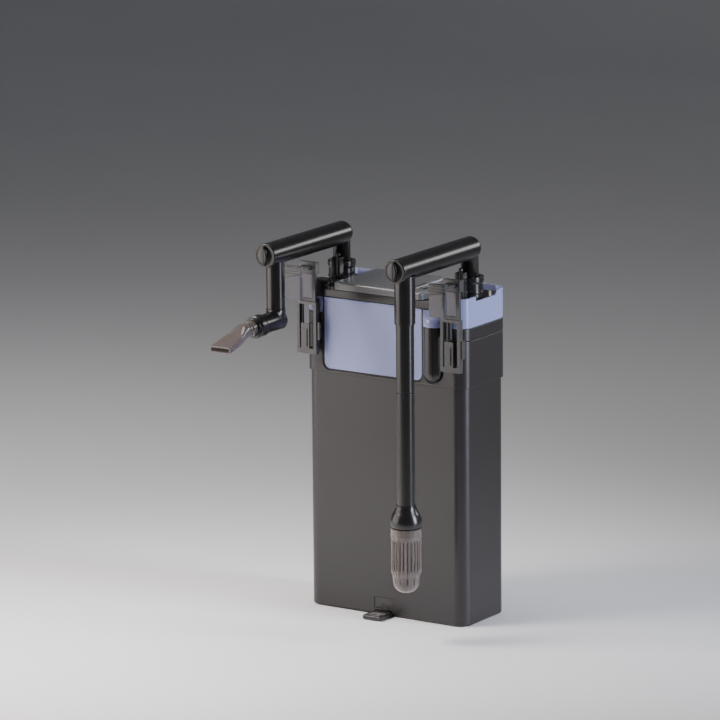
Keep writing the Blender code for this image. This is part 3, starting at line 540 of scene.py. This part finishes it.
def make_column():
    """The glossy cover of the front channel, round at the bottom."""
    top, bottom = COLUMN[5], COLUMN[2] - 0.2 * MM
    edge = 0.5 * MM
    profile = [(0, top), (COLUMN_RADIUS - edge, top)]
    profile += arc((COLUMN_RADIUS - edge, top - edge), edge, 80, 0, 4)
    profile += arc((0, bottom + COLUMN_RADIUS), COLUMN_RADIUS, 0, -90, 20)
    profile[-1] = (0, bottom)
    cover = lathe("column_channel_cover", profile, (COLUMN_X, COLUMN_Y, 0), around=96)
    cut(cover, slab("back", (0, COLUMN[4], 0), (0.1, 0.1, 0.5), ends=(0, 0)))
    stand_for(cover, "column_cover")


def trim_ring(layer):
    """Lowers the clear ring along the front and drops a shallow bay in each side."""
    above, notch = RING[5] + 12 * MM, 289 * MM
    front = rounded((-77.4 * MM, RING_FRONT_TOP), (66 * MM, above), [0.8 * MM, 0.8 * MM, 0, 0], 5)
    bay = rounded((-16.5 * MM, notch), (17.5 * MM, above), [1.5 * MM, 1.5 * MM, 0, 0], 6)
    cut(layer, plate("front", front, -0.1, -0.03, "Y", ends=(0, 0)),
        plate("bay", bay, -0.1, 0.1, "X", ends=(0, 0)))


def make_window():
    x0, y0, _, x1, y1, z1 = WINDOW
    pane = plate("window_pane", window_outline(0, z1), y0, y1, "Y", 0.4 * MM)
    lip = slab("lip", (x0 + 0.2 * MM, y0 - 0.5 * MM, z1 - 1.2 * MM),
               (x1 - 0.2 * MM, y0 + 1 * MM, z1), 0.3 * MM, "Y", 0.3 * MM)
    merge(pane, lip)
    stand_for(pane, "front_window")
    _, y0, _, _, y1, z1 = extent("window_gasket")
    gasket = plate("window_seal", window_outline(1.6 * MM, z1), y0, y1, "Y", 0.3 * MM)
    cut(gasket, plate("hole", window_outline(0.15 * MM, z1 + 20 * MM), IN_FRONT, 0, "Y", ends=(0, 0)))
    stand_for(gasket, "window_gasket")


# ---------------------------------------------------------------- deck and lid
def make_deck():
    _, y0, z0, x1, y1, z1 = DECK
    top, above, below = LID[2] - 0.3 * MM, 300 * MM, 250 * MM
    left, right, corner = -77 * MM, 65.6 * MM, 5 * MM
    deck = slab("deck", (-x1, -y1, z0), (x1, y1, top), CORNER - WALL - 0.3 * MM, smooth=12)
    front = slab("front", (left, y0, 281.3 * MM), (right, -20 * MM, top),
                 [corner, 1 * MM, corner, corner], edge=0.8 * MM)
    shoulder = slab("shoulder", (left, y0 + 0.2 * MM, 282 * MM), (-53 * MM, -19 * MM, z1), corner,
                    edge=3 * MM, steps=5)
    merge(deck, front, shoulder)
    for side in (-1, 1):
        near, far = sorted((side * 52.6 * MM, side * 80 * MM))
        well = slab("well", (near, -18 * MM, 272.5 * MM), (far, 31 * MM, above), 2 * MM, ends=(1, 0))
        leg = [(0, 0.3), (8.7 * MM, 0.3), (8.7 * MM, 0.25), (0, 0.25)]
        cut(deck, well, lathe("hole", leg, (side * ARM_X, 0, 0)))
    cut(deck,
        slab("opening", (-49 * MM, -27 * MM, below), (19 * MM, 30 * MM, above), 4 * MM, ends=(0, 0)),
        slab("bay", (22 * MM, -27 * MM, below), (50 * MM, 31 * MM, top - WALL), ends=(0, 0)))
    stand_for(deck, "top_deck")
    x0, y0, z0, x1, y1, z1 = extent("pump_hatch")
    hatch = slab("pump_hatch_plate", (x0, y0, z0), (x1, y1, z1), 2.5 * MM, edge=0.9 * MM)
    for i in range(6):
        x = x0 + (7 + 2.6 * i) * MM
        rib = slab("rib", (x, y0 + 4 * MM, z1 - 0.5 * MM), (x + 1.1 * MM, y0 + 14 * MM, z1 + OVER),
                   0.5 * MM)
        cut(hatch, rib)
    stand_for(hatch, "pump_hatch")


def make_lid():
    x0, y0, z0, x1, y1, z1 = LID
    step_x, step_y, r, small = 21.8 * MM, -20 * MM, 3.4 * MM, 2 * MM
    outline = arc((x0 + r, y0 + r), r, 180, 270, 8) + arc((x1 - r, y0 + r), r, 270, 360, 8)
    outline += arc((x1 - small, step_y - small), small, 0, 90, 6)
    outline += arc((step_x + small, step_y + small), small, 270, 180, 6)
    outline += arc((step_x - r, y1 - r), r, 0, 90, 8) + arc((x0 + r, y1 - r), r, 90, 180, 8)
    cover = plate("lid_cover", outline, z0, z1, "Z", 3 * MM, 8, ends=(0, 1))
    grip = slab("grip", (x0 + 26 * MM, y1 - 13 * MM, z1 - 1.1 * MM),
                (x0 + 48 * MM, y1 - 5 * MM, z1 + 3 * MM), 3.4 * MM, ends=(1, 0))
    cut(cover, grip)
    stand_for(cover, "lid")


def make_gland():
    """The rubber inlet at the back, with four rings that get smaller outwards."""
    spot = middle("cable_gland")
    base = extent("cable_gland")[1]
    bore = 2.6
    profile = [(bore, 0), (6.5, 0), (6.5, 3.1), (4.6, 3.6)]
    for i in range(4):
        z, ridge, groove = 4.2 + 1.6 * i, 4.5 - 0.18 * i, 3.7 - 0.12 * i
        profile += [(ridge, z), (ridge, z + 0.8), (groove, z + 0.9), (groove, z + 1.5)]
    profile += [(3.3, 10.7), (bore, 10.7)]
    points = softened([(r * MM, -z * MM) for r, z in profile], 0.25 * MM, 2)
    stand_for(lathe("cable_inlet", points, (spot.x, base, spot.z), "Y"), "cable_gland")


# ---------------------------------------------------------------- arms
def capped_pipe(name, radius, front, back, rounding, x, z, around=96):
    """A solid pipe along Y with a small round edge in front and a large one at the back."""
    small = 0.5 * MM
    profile = [(0, -front)] + arc((radius - small, -front - small), small, 90, 0, 3)
    profile += arc((radius - rounding, -back + rounding), rounding, 0, -90, 14)
    profile.append((0, -back))
    return lathe(name, profile, (x, 0, z), "Y", around)


def solid_rod(name, radius, low, high, centre, axis="Z"):
    return lathe(name, [(0, high), (radius, high), (radius, low), (0, low)], centre, axis, 96)


def make_arm(key):
    """The horizontal pipe with its rear leg, hollow, with a hole for the pipe that hangs from it."""
    x = SIDES[key] * ARM_X
    _, front, bottom, _, back, top = extent(key + "_arm")
    pipe = capped_pipe(key + "_arm_pipe", top - ARM_Z, front, back, 7.5 * MM, x, ARM_Z)
    edge = 0.5 * MM
    profile = [(0, ARM_Z), (back, ARM_Z)] + arc((back - edge, bottom + edge), edge, 0, -90, 3)
    leg = lathe("leg", profile + [(0, bottom)], (x, 0, 0), around=96)
    merge(pipe, leg)
    hole = {"outlet": 8.3 * MM, "intake": 9.4 * MM}[key]
    cut(pipe, solid_rod("bore", 8.4 * MM, 3.1 * MM, 0.2, (x, 0, ARM_Z), "Y"),
        solid_rod("leg_bore", 6.2 * MM, 0.26, ARM_Z, (x, 0, 0)),
        solid_rod("drop_hole", hole, 0.31, ARM_Z, (x, DROP_Y, 0)))
    stand_for(pipe, key + "_arm")


def make_knob(key):
    """A round cap with a raised rim and a lens-shaped finger grip across it."""
    x = SIDES[key] * ARM_X
    x0, tip, _, x1, inner, _ = extent(key + "_knob")
    radius, face, seat, plug = (x1 - x0) / 2, 120.4 * MM, 116.9 * MM, 7.8 * MM
    profile = [(0, face - 0.5 * MM), (radius - 2.4 * MM, face - 0.5 * MM), (radius - 2.1 * MM, face),
               (radius - 1.1 * MM, face)]
    profile += arc((radius - 1 * MM, face - 1 * MM), 1 * MM, 80, 0, 5)
    profile += [(radius, seat + 0.2 * MM), (radius - 0.2 * MM, seat), (plug, seat), (plug, -inner),
                (0, -inner)]
    cap = lathe(key + "_flow_knob", profile, (x, 0, ARM_Z), "Y", 96)
    half_height, half_width = 9 * MM, 3.4 * MM
    bulge = (half_height ** 2 + half_width ** 2) / (2 * half_width)
    span = math.degrees(math.asin(half_height / bulge))
    lens = arc((x + half_width - bulge, ARM_Z), bulge, -span, span, 18)[:-1]
    lens += arc((x - half_width + bulge, ARM_Z), bulge, 180 - span, 180 + span, 18)[:-1]
    merge(cap, plate("grip", lens, tip, -face + 1 * MM, "Y", 1.2 * MM, 5, ends=(1, 0)))
    stand_for(cap, key + "_knob")


def make_socket(key):
    """The collar that an arm's rear leg turns in, with a fin that holds the latch pin."""
    x = SIDES[key] * ARM_X
    _, front, z0, _, radius, z1 = extent(key + "_socket")
    bore, neck, ridge, top = 8.7 * MM, radius - 0.8 * MM, radius - 0.2 * MM, 307.5 * MM
    pin_x = middle(key + "_latch_pin").x
    fin = {"outlet": (-67 * MM, -57.6 * MM), "intake": (61.5 * MM, 70.7 * MM)}[key]
    profile = [(radius, top), (radius, 303.2 * MM), (neck, 302 * MM), (neck, 295 * MM),
               (ridge, 294.6 * MM), (ridge, 293.4 * MM), (neck, 293 * MM),
               (neck, z0), (bore, z0), (bore, top)]
    collar = lathe(key + "_arm_socket", softened(profile, 0.5 * MM), (x, 0, 0))
    merge(collar, slab("fin", (fin[0], front, 274.6 * MM), (fin[1], -10.4 * MM, z1), 0.8 * MM,
                       edge=0.7 * MM))
    cut(collar, slab("groove", (pin_x - 1.6 * MM, front - OVER, 290 * MM),
                     (pin_x + 1.6 * MM, -15.2 * MM, 320 * MM), ends=(0, 0)))
    stand_for(collar, key + "_socket")


def make_pin(key):
    spot = middle(key + "_latch_pin")
    x0, _, z0, x1, _, z1 = extent(key + "_latch_pin")
    ball = (x1 - x0) / 2 + 0.1 * MM
    neck = 1.1 * MM
    dome = arc((0, z1 - ball), ball, 90, -58, 16)
    dome[0] = (0, z1)
    shank = [(neck, z1 - ball - 2.1 * MM), (neck, z0 + 0.4 * MM), (neck - 0.4 * MM, z0), (0, z0)]
    pin = lathe(key + "_ball_pin", dome + shank, (spot.x, spot.y, 0), around=32)
    stand_for(pin, key + "_latch_pin")


# ---------------------------------------------------------------- outlet
def straight_pipe(name, node, bore):
    """A straight upright pipe in a node's place."""
    x0, _, z0, x1, _, z1 = extent(node)
    radius = (x1 - x0) / 2
    profile = [(radius, z1), (radius, z0), (bore, z0), (bore, z1)]
    spot = middle(node)
    stand_for(lathe(name, softened(profile, 0.35 * MM), (spot.x, spot.y, 0)), node)


def make_outlet():
    x, low, leg = -ARM_X, OUTLET_Z, 8.4 * MM
    straight_pipe("outlet_drop_pipe", "outlet_drop_tube", PIPE_BORE)
    x0, front, _, x1, back, top = extent("outlet_elbow")
    elbow = capped_pipe("outlet_bend_pipe", (x1 - x0) / 2, front, back, 4.5 * MM, x, low)
    edge = 0.4 * MM
    upright = [(0, top)] + arc((leg - edge, top - edge), edge, 90, 0, 3) + [(leg, low), (0, low)]
    merge(elbow, lathe("upright", upright, (x, DROP_Y, 0), around=96))
    cut(elbow, solid_rod("bore", PIPE_BORE, -DROP_Y - 3.3 * MM, 0.135, (x, 0, low), "Y"),
        solid_rod("leg_bore", PIPE_BORE, low, top + 3 * MM, (x, DROP_Y, 0)))
    stand_for(elbow, "outlet_elbow")
    profile = [(8.4, 141.4), (8.6, 139), (8.6, 137.9), (9.2, 137.7), (10, 137.2), (10, 131.2),
               (9.7, 130.9), (9.7, 130.5), (10, 130.2), (10, 127.9), (6.4, 127.9), (6.4, 141.4)]
    points = softened(scaled(profile), 0.5 * MM)
    stand_for(lathe("nozzle_twist_collar", points, (x, 0, low), "Y", 96), "nozzle_collar")


def superellipse(half_width, half_height, power, around):
    """An oval at power 2 that gets squarer as the power grows."""
    found = []
    for i in range(around):
        angle = 2 * math.pi * i / around
        u = math.copysign(abs(math.cos(angle)) ** (2 / power), math.cos(angle)) * half_width
        v = math.copysign(abs(math.sin(angle)) ** (2 / power), math.sin(angle)) * half_height
        found.append((u, v))
    return found


def smooth_between(sections, pieces):
    """More sections between the given ones, by a Catmull-Rom curve through each of their values."""
    found = []
    last = len(sections) - 1
    for i in range(last):
        a, b, c, d = (sections[max(0, min(last, i + k))] for k in (-1, 0, 1, 2))
        for k in range(pieces):
            t = k / pieces
            found.append([0.5 * (2 * q + (r - p) * t + (2 * p - 5 * q + 4 * r - s) * t * t
                                 + (3 * q - p - 3 * r + s) * t ** 3) for p, q, r, s in zip(a, b, c, d)])
    return found + [list(sections[-1])]


def make_nozzle():
    """The fan nozzle, from sections of half width, half height, squareness, distance and drop, in mm."""
    around = 64
    spigot = [(5.6, 5.6, 2, 131, 0), (5.6, 5.6, 2, 141.7, 0), (6.6, 6.6, 2, 141.8, 0),
              (6.9, 6.9, 2, 142.2, 0), (6.9, 6.9, 2, 146.4, 0), (6.5, 6.5, 2, 146.9, 0)]
    fan = [(6, 6, 2, 147.6, -0.1), (6.4, 6.4, 2.1, 150.6, -0.4), (7, 7.1, 2.2, 154.6, -0.7),
           (7.5, 6.9, 2.4, 159, -1.7), (8.2, 5.6, 3.2, 163.6, -3.4), (8.8, 4.6, 4.6, 169, -5),
           (9.6, 3.7, 6.5, 179, -7.4), (10.2, 2.9, 8, 190, -10)]
    sections = spigot + smooth_between(fan, 5)
    bm = bmesh.new()

    def skin(wall):
        rings = []
        for width, height, power, forward, drop in sections:
            points = superellipse(width - wall, height - wall, power, around)
            rings.append([bm.verts.new((-ARM_X + u * MM, -forward * MM, OUTLET_Z + (v + drop) * MM))
                          for u, v in points])
        return rings

    outer, inner = skin(0), skin(1.05)
    strips = [pair for rings in (outer, inner) for pair in zip(rings, rings[1:])]
    strips += [(outer[0], inner[0]), (outer[-1], inner[-1])]
    for near, far in strips:
        for i in range(around):
            j = (i + 1) % around
            bm.faces.new((near[i], near[j], far[j], far[i]))
    stand_for(from_bmesh("fan_nozzle", bm), "spray_nozzle")


# ---------------------------------------------------------------- intake
def make_intake():
    straight_pipe("intake_outer_sleeve", "intake_sleeve", 8.15 * MM)
    straight_pipe("intake_upper_pipe", "intake_middle_tube", PIPE_BORE)
    straight_pipe("intake_long_pipe", "intake_lower_tube", PIPE_BORE)
    shoulder = [(8.6, 124.6), (8.9, 122.4), (10.3, 119.4), (12.2, 116), (13.4, 112.4), (13.8, 109.4),
                (13.6, 107), (12.9, 105.3), (12.2, 104.6)]
    inside = [(11.4, 104.6), (11.4, 100), (9.8, 100), (9.8, 110), (6.6, 117.8), (8.1, 117.9),
              (8.1, 124.6)]
    profile = softened(scaled(smooth_between(shoulder, 5) + inside), 0.35 * MM, 2)
    stand_for(lathe("intake_bell", profile, (ARM_X, DROP_Y, 0), around=96), "bell_adapter")
    make_strainer()


def make_strainer():
    """The slotted cup: a plain collar, a fluted barrel, a toothed rim and a round end."""
    x, ribs, depth = ARM_X, 24, 0.4
    outer = [(13.3, 104.3), (13.75, 98.2), (13.7, 97.2), (13.15, 96.2), (13, 95.2), (12.7, 94.6),
             (12.65, 66.9), (12.9, 66.3), (12.9, 64.8), (12.5, 64.2), (12, 62.6)]
    dome = smooth_between([(12, 62.6), (11.4, 55), (9.4, 50.4), (5.6, 47.6), (0, 46.8)], 4)[1:]
    inner_dome = smooth_between([(0, 48.4), (5.2, 49.2), (8, 51.6), (9.9, 55.6), (10.4, 63)], 4)
    dome[-1][0] = inner_dome[0][0] = 0
    profile = scaled(outer + dome + inner_dome + [(11.3, 66), (11.7, 104.3)])
    cup = lathe("strainer_cup", profile, (x, DROP_Y, 0), around=10 * ribs)
    for vert in cup.data.vertices:
        away = Vector((vert.co.x - x, vert.co.y - DROP_Y, 0))
        on_barrel = 12.2 * MM < away.length and 62 * MM < vert.co.z < 95 * MM
        if on_barrel or 98 * MM > vert.co.z > 97 * MM:
            wave = math.cos(ribs * math.atan2(away.y, away.x))
            vert.co += away.normalized() * wave * depth * MM
    bm = bmesh.new()
    for i in range(ribs):
        angle = 2 * math.pi * (i + 0.5) / ribs
        turn = Matrix.Translation((x, DROP_Y, 0)) @ Matrix.Rotation(angle, 4, "Z")
        slots = [(68, 93.6, 9, 16, 1.2)]
        if i % 2 == 0:  # every second slot goes on below the rim
            slots.append((55.5, 61.5, 8.6, 16, 1.0))
        for low, high, near, far, width in slots:
            box = Matrix.Translation(((near + far) / 2 * MM, 0, (low + high) / 2 * MM))
            size = Matrix.Diagonal(((far - near) * MM, width * MM, (high - low) * MM, 1))
            bmesh.ops.create_cube(bm, size=1, matrix=turn @ box @ size)
    cut(cup, from_bmesh("slots", bm))
    stand_for(cup, "strainer")


# ---------------------------------------------------------------- hooks
def boxes(name, *spans):
    """Boxes joined into one solid; each span is its low and its high corner."""
    made = [slab(name, low, high, ends=(0, 0)) for low, high in spans]
    return merge(made[0], *made[1:]) if len(made) > 1 else made[0]


def across(x, half, y0, y1, z0, z1):
    """A span that is as wide on both sides of x."""
    return (x - half, y0, z0), (x + half, y1, z1)


def make_hook(hand):
    side = -1 if hand == "left" else 1
    pad_low, pad_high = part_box("hook_pad_" + hand)
    x = (pad_low.x + pad_high.x) / 2
    _, front, _, _, _, top = extent("hook_frame_" + hand)
    _, _, low_end, _, _, split = extent("hook_slider_" + hand)
    split += 0.3 * MM
    half, back, upper = 8.5 * MM, front + 2.9 * MM, 302 * MM
    root = sorted((side * 66.4 * MM, side * 71.2 * MM))
    ladder = boxes("hook_ladder_" + hand,
                   across(x, half, front, back, split, top),
                   ((x - half, front, upper), (x + half + 0.6 * MM, front + 6 * MM, top)),
                   across(x, 8 * MM, front + 1.3 * MM, back, low_end + 3 * MM, split + 1 * MM),
                   ((root[0], front + 2 * MM, 258 * MM), (root[1], HOUSING_FRONT - GAP, 279 * MM)))
    cut(ladder,
        boxes("gap", across(x, 5.9 * MM, front - OVER, front + 4 * MM, split + 2 * MM, upper)),
        boxes("gap", across(x, 5.2 * MM, front - OVER, front + 4 * MM,
                            low_end + 6 * MM, split - 1.6 * MM)),
        boxes("gap", across(x, 5.3 * MM, front - 3 * MM, front + 9 * MM, 305.7 * MM, 309.1 * MM)))
    round_edges(ladder, 0.45 * MM)
    stand_for(ladder, "hook_frame_" + hand)
    pad = slab("hook_clear_pad_" + hand, pad_low, pad_high, 0.8 * MM, "Y", 0.4 * MM)
    stand_for(pad, "hook_pad_" + hand, look="clear_grey_shaded")
    make_slider(hand, x, front, low_end, split)
    make_jaw(hand, x)


def make_slider(hand, x, frame_front, bottom, split):
    """The lower bar, which runs on the ladder: a window with a tongue and a side tab."""
    front, half = frame_front - 1.3 * MM, 10.2 * MM
    slider = boxes("hook_slider_bar_" + hand,
                   across(x, half, front, frame_front + 3 * MM, bottom, split - 0.3 * MM))
    track = across(x, 8.3 * MM, frame_front + 0.9 * MM, frame_front + 4 * MM, bottom - OVER, split + OVER)
    window = ((x - half + 3 * MM, front - OVER, bottom + 4.8 * MM), (x + half - 3 * MM, 0, split - 3 * MM))
    cut(slider, boxes("track", track), boxes("window", window))
    tongue = ((x - 6 * MM, front, bottom + 4 * MM), (x + 2.8 * MM, front + 1.4 * MM, 257.4 * MM))
    rib = ((x - 3.6 * MM, front - 0.9 * MM, bottom + 6.5 * MM),
           (x + 0.6 * MM, front + 0.5 * MM, 252.6 * MM))
    tab = ((x + half - 0.5 * MM, front + 1.2 * MM, 243.5 * MM),
           (x + half + 2.6 * MM, frame_front + 2.6 * MM, 259.4 * MM))
    merge(slider, boxes("tongue", tongue), boxes("rib", rib), boxes("tab", tab))
    round_edges(slider, 0.4 * MM)
    stand_for(slider, "hook_slider_" + hand)


def make_jaw(hand, x):
    """The ribbed finger grip, its bar through the ladder, and the clear plate below it."""
    half = 8.3 * MM
    _, front, _, _, back, top = extent("hook_grip_" + hand)
    outline = [(x - half, 302.2 * MM), (x + half, 305.8 * MM), (x + half, top), (x - half, top)]
    grip = plate("hook_grip_bar_" + hand, outline, front, front + 4.6 * MM, "Y", ends=(0, 0))
    merge(grip, boxes("bar", across(x, 5 * MM, front + 3 * MM, back, 306 * MM, 308.8 * MM)))
    for i in range(3):
        z = (303.4 + 2.4 * i) * MM
        groove = across(x, 9 * MM, front - OVER, front + 0.9 * MM, z + 2.2 * MM, z + 3.2 * MM)
        cut(grip, boxes("groove", groove))
    round_edges(grip, 0.35 * MM)
    stand_for(grip, "hook_grip_" + hand, look="black")
    bottom = extent("hook_jaw_" + hand)[2]
    outline = rounded((x - half, bottom), (x + half, 302 * MM), [1.5 * MM, 1.5 * MM, 0, 0], 6)
    outline = [p for p in outline if p[1] < 301 * MM] + [(x + half, 305.5 * MM), (x - half, 301.9 * MM)]
    jaw = plate("hook_jaw_plate_" + hand, outline, front + 0.4 * MM, front + 3.6 * MM, "Y", 0.5 * MM)
    stand_for(jaw, "hook_jaw_" + hand, look="clear_grey_shaded")


# ---------------------------------------------------------------- inside
def make_media():
    """The foam block and the wool pad: soft blocks whose faces wander a little."""
    random.seed(7)
    for node, name, look, fill in (("coarse_sponge", "sponge_block", "sponge", 0.7),
                                   ("fine_pad", "filter_wool_pad", "filter_wool", 0.4)):
        low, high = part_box(node)
        centre, size = (low + high) / 2, (high - low) * 0.98
        bm = bmesh.new()
        bmesh.ops.create_cube(bm, size=1)
        bmesh.ops.subdivide_edges(bm, edges=bm.edges, cuts=13, use_grid_fill=True)
        sway = [(random.uniform(20, 60), random.uniform(0, 6)) for _ in range(3)]
        for v in bm.verts:
            edge = sorted(abs(c) * 2 for c in v.co)
            pull = 1 - 0.035 * max(0, edge[1] - 0.8) * 5
            wander = sum(math.sin(v.co[k] * f + p) for k, (f, p) in enumerate(sway)) * 0.25 * MM
            spot = Vector([v.co[k] * size[k] * pull for k in range(3)])
            v.co = centre + spot + spot.normalized() * wander
        block = from_bmesh(name, bm, 60)
        stand_for(block, node, look=look)


def dress_frame():
    """CAD nodes that carry over as they are get their finish."""
    for node, obj in frame["nodes"].items():
        if obj.hide_render:
            continue
        obj.data.materials.clear()
        obj.data.materials.append(LOOKS[SLOT_OF[node]])


# ---------------------------------------------------------------- stage
def make_stage():
    """A pale sweep: a floor that curves up behind."""
    depth, curve, height = 2.6, 0.9, 2.4
    profile = [(-3.5, 0.0)] + [(depth + u, curve + v) for u, v in arc((0, 0), curve, -90, 0, 12)]
    profile += [(depth + curve, height)]
    bm = bmesh.new()
    rows = [[bm.verts.new((x, y, z)) for y, z in profile] for x in (-4.5, 4.5)]
    for i in range(len(profile) - 1):
        bm.faces.new((rows[0][i], rows[1][i], rows[1][i + 1], rows[0][i + 1]))
    floor = from_bmesh("floor", bm, 60)
    paper = Shader("paper", (0.86, 0.86, 0.87), 0.6)
    paper.vary(paper.noise(3, 2), 0.98, 1.02)
    floor.data.materials.append(paper.material)


def add_light(name, spot, target, size, power, spread=180, colour=(1, 1, 1)):
    data = bpy.data.lights.new(name, "AREA")
    data.shape = "RECTANGLE"
    data.size, data.size_y = size
    data.energy = power
    data.color = colour
    data.spread = math.radians(spread)
    lamp = link(bpy.data.objects.new(name, data))
    lamp.location = spot
    lamp.rotation_euler = (Vector(target) - Vector(spot)).to_track_quat("-Z", "Y").to_euler()
    lamp.visible_camera = False


def around(azimuth, distance, height):
    """A spot at that many degrees from the front, counted towards the right."""
    angle = math.radians(azimuth)
    return (distance * math.sin(angle), -distance * math.cos(angle), height)


def make_lights():
    """Soft boxes placed by the highlights in the photograph, with faint light from all round."""
    aim = (0, -0.02, 0.16)
    warm, cool = (1, 0.93, 0.9), (0.82, 0.87, 1)
    add_light("key_low", around(-50, 1.0, 0.32), aim, (1.0, 0.62), 6.5, 180, warm)
    add_light("key_high", around(-62, 0.9, 0.95), aim, (0.9, 0.5), 4, 180, warm)
    add_light("floor_wash", around(-42, 0.8, 0.9), (-0.12, -0.32, 0), (0.3, 0.3), 2.2, 60, warm)
    add_light("strip_right", around(98, 0.9, 0.4), aim, (0.26, 0.75), 2.6, 70, cool)
    add_light("back_right", around(150, 1.0, 0.56), (0, -0.02, 0.25), (0.45, 0.24), 0.3, 60)
    add_light("top", (-0.1, 0.1, 1.2), aim, (0.5, 0.4), 3.5)
    world = bpy.data.worlds.new("studio")
    bpy.context.scene.world = world
    world.use_nodes = True
    sky = world.node_tree.nodes["Background"].inputs
    sky["Color"].default_value = (0.9, 0.93, 1, 1)
    sky["Strength"].default_value = 0.1


def make_camera():
    """A long lens, fitted to points on the filter in the photograph."""
    spot, towards, roll = (2.7084, -4.1903, 1.3399), (-0.53636, 0.81532, -0.2181), math.radians(-0.46)
    data = bpy.data.cameras.new("camera")
    data.lens = 291.2
    data.sensor_width = 36
    data.clip_end = 50
    camera = link(bpy.data.objects.new("camera", data))
    forward = Vector(towards).normalized()
    right = forward.cross(Vector((0, 0, 1))).normalized()
    up = right.cross(forward)
    tilted = right * math.cos(roll) + up * math.sin(roll)
    over = tilted.cross(forward)
    axes = Matrix((tilted, over, -forward)).transposed()
    camera.matrix_world = Matrix.Translation(spot) @ axes.to_4x4()
    bpy.context.scene.camera = camera


make_canister()
make_foot()
make_housing()
make_window()
make_deck()
make_lid()
make_gland()
for arm_key in SIDES:
    make_arm(arm_key)
    make_knob(arm_key)
    make_socket(arm_key)
    make_pin(arm_key)
make_outlet()
make_nozzle()
make_intake()
for hook_hand in HANDS:
    make_hook(hook_hand)
make_media()
dress_frame()
make_stage()
make_lights()
make_camera()
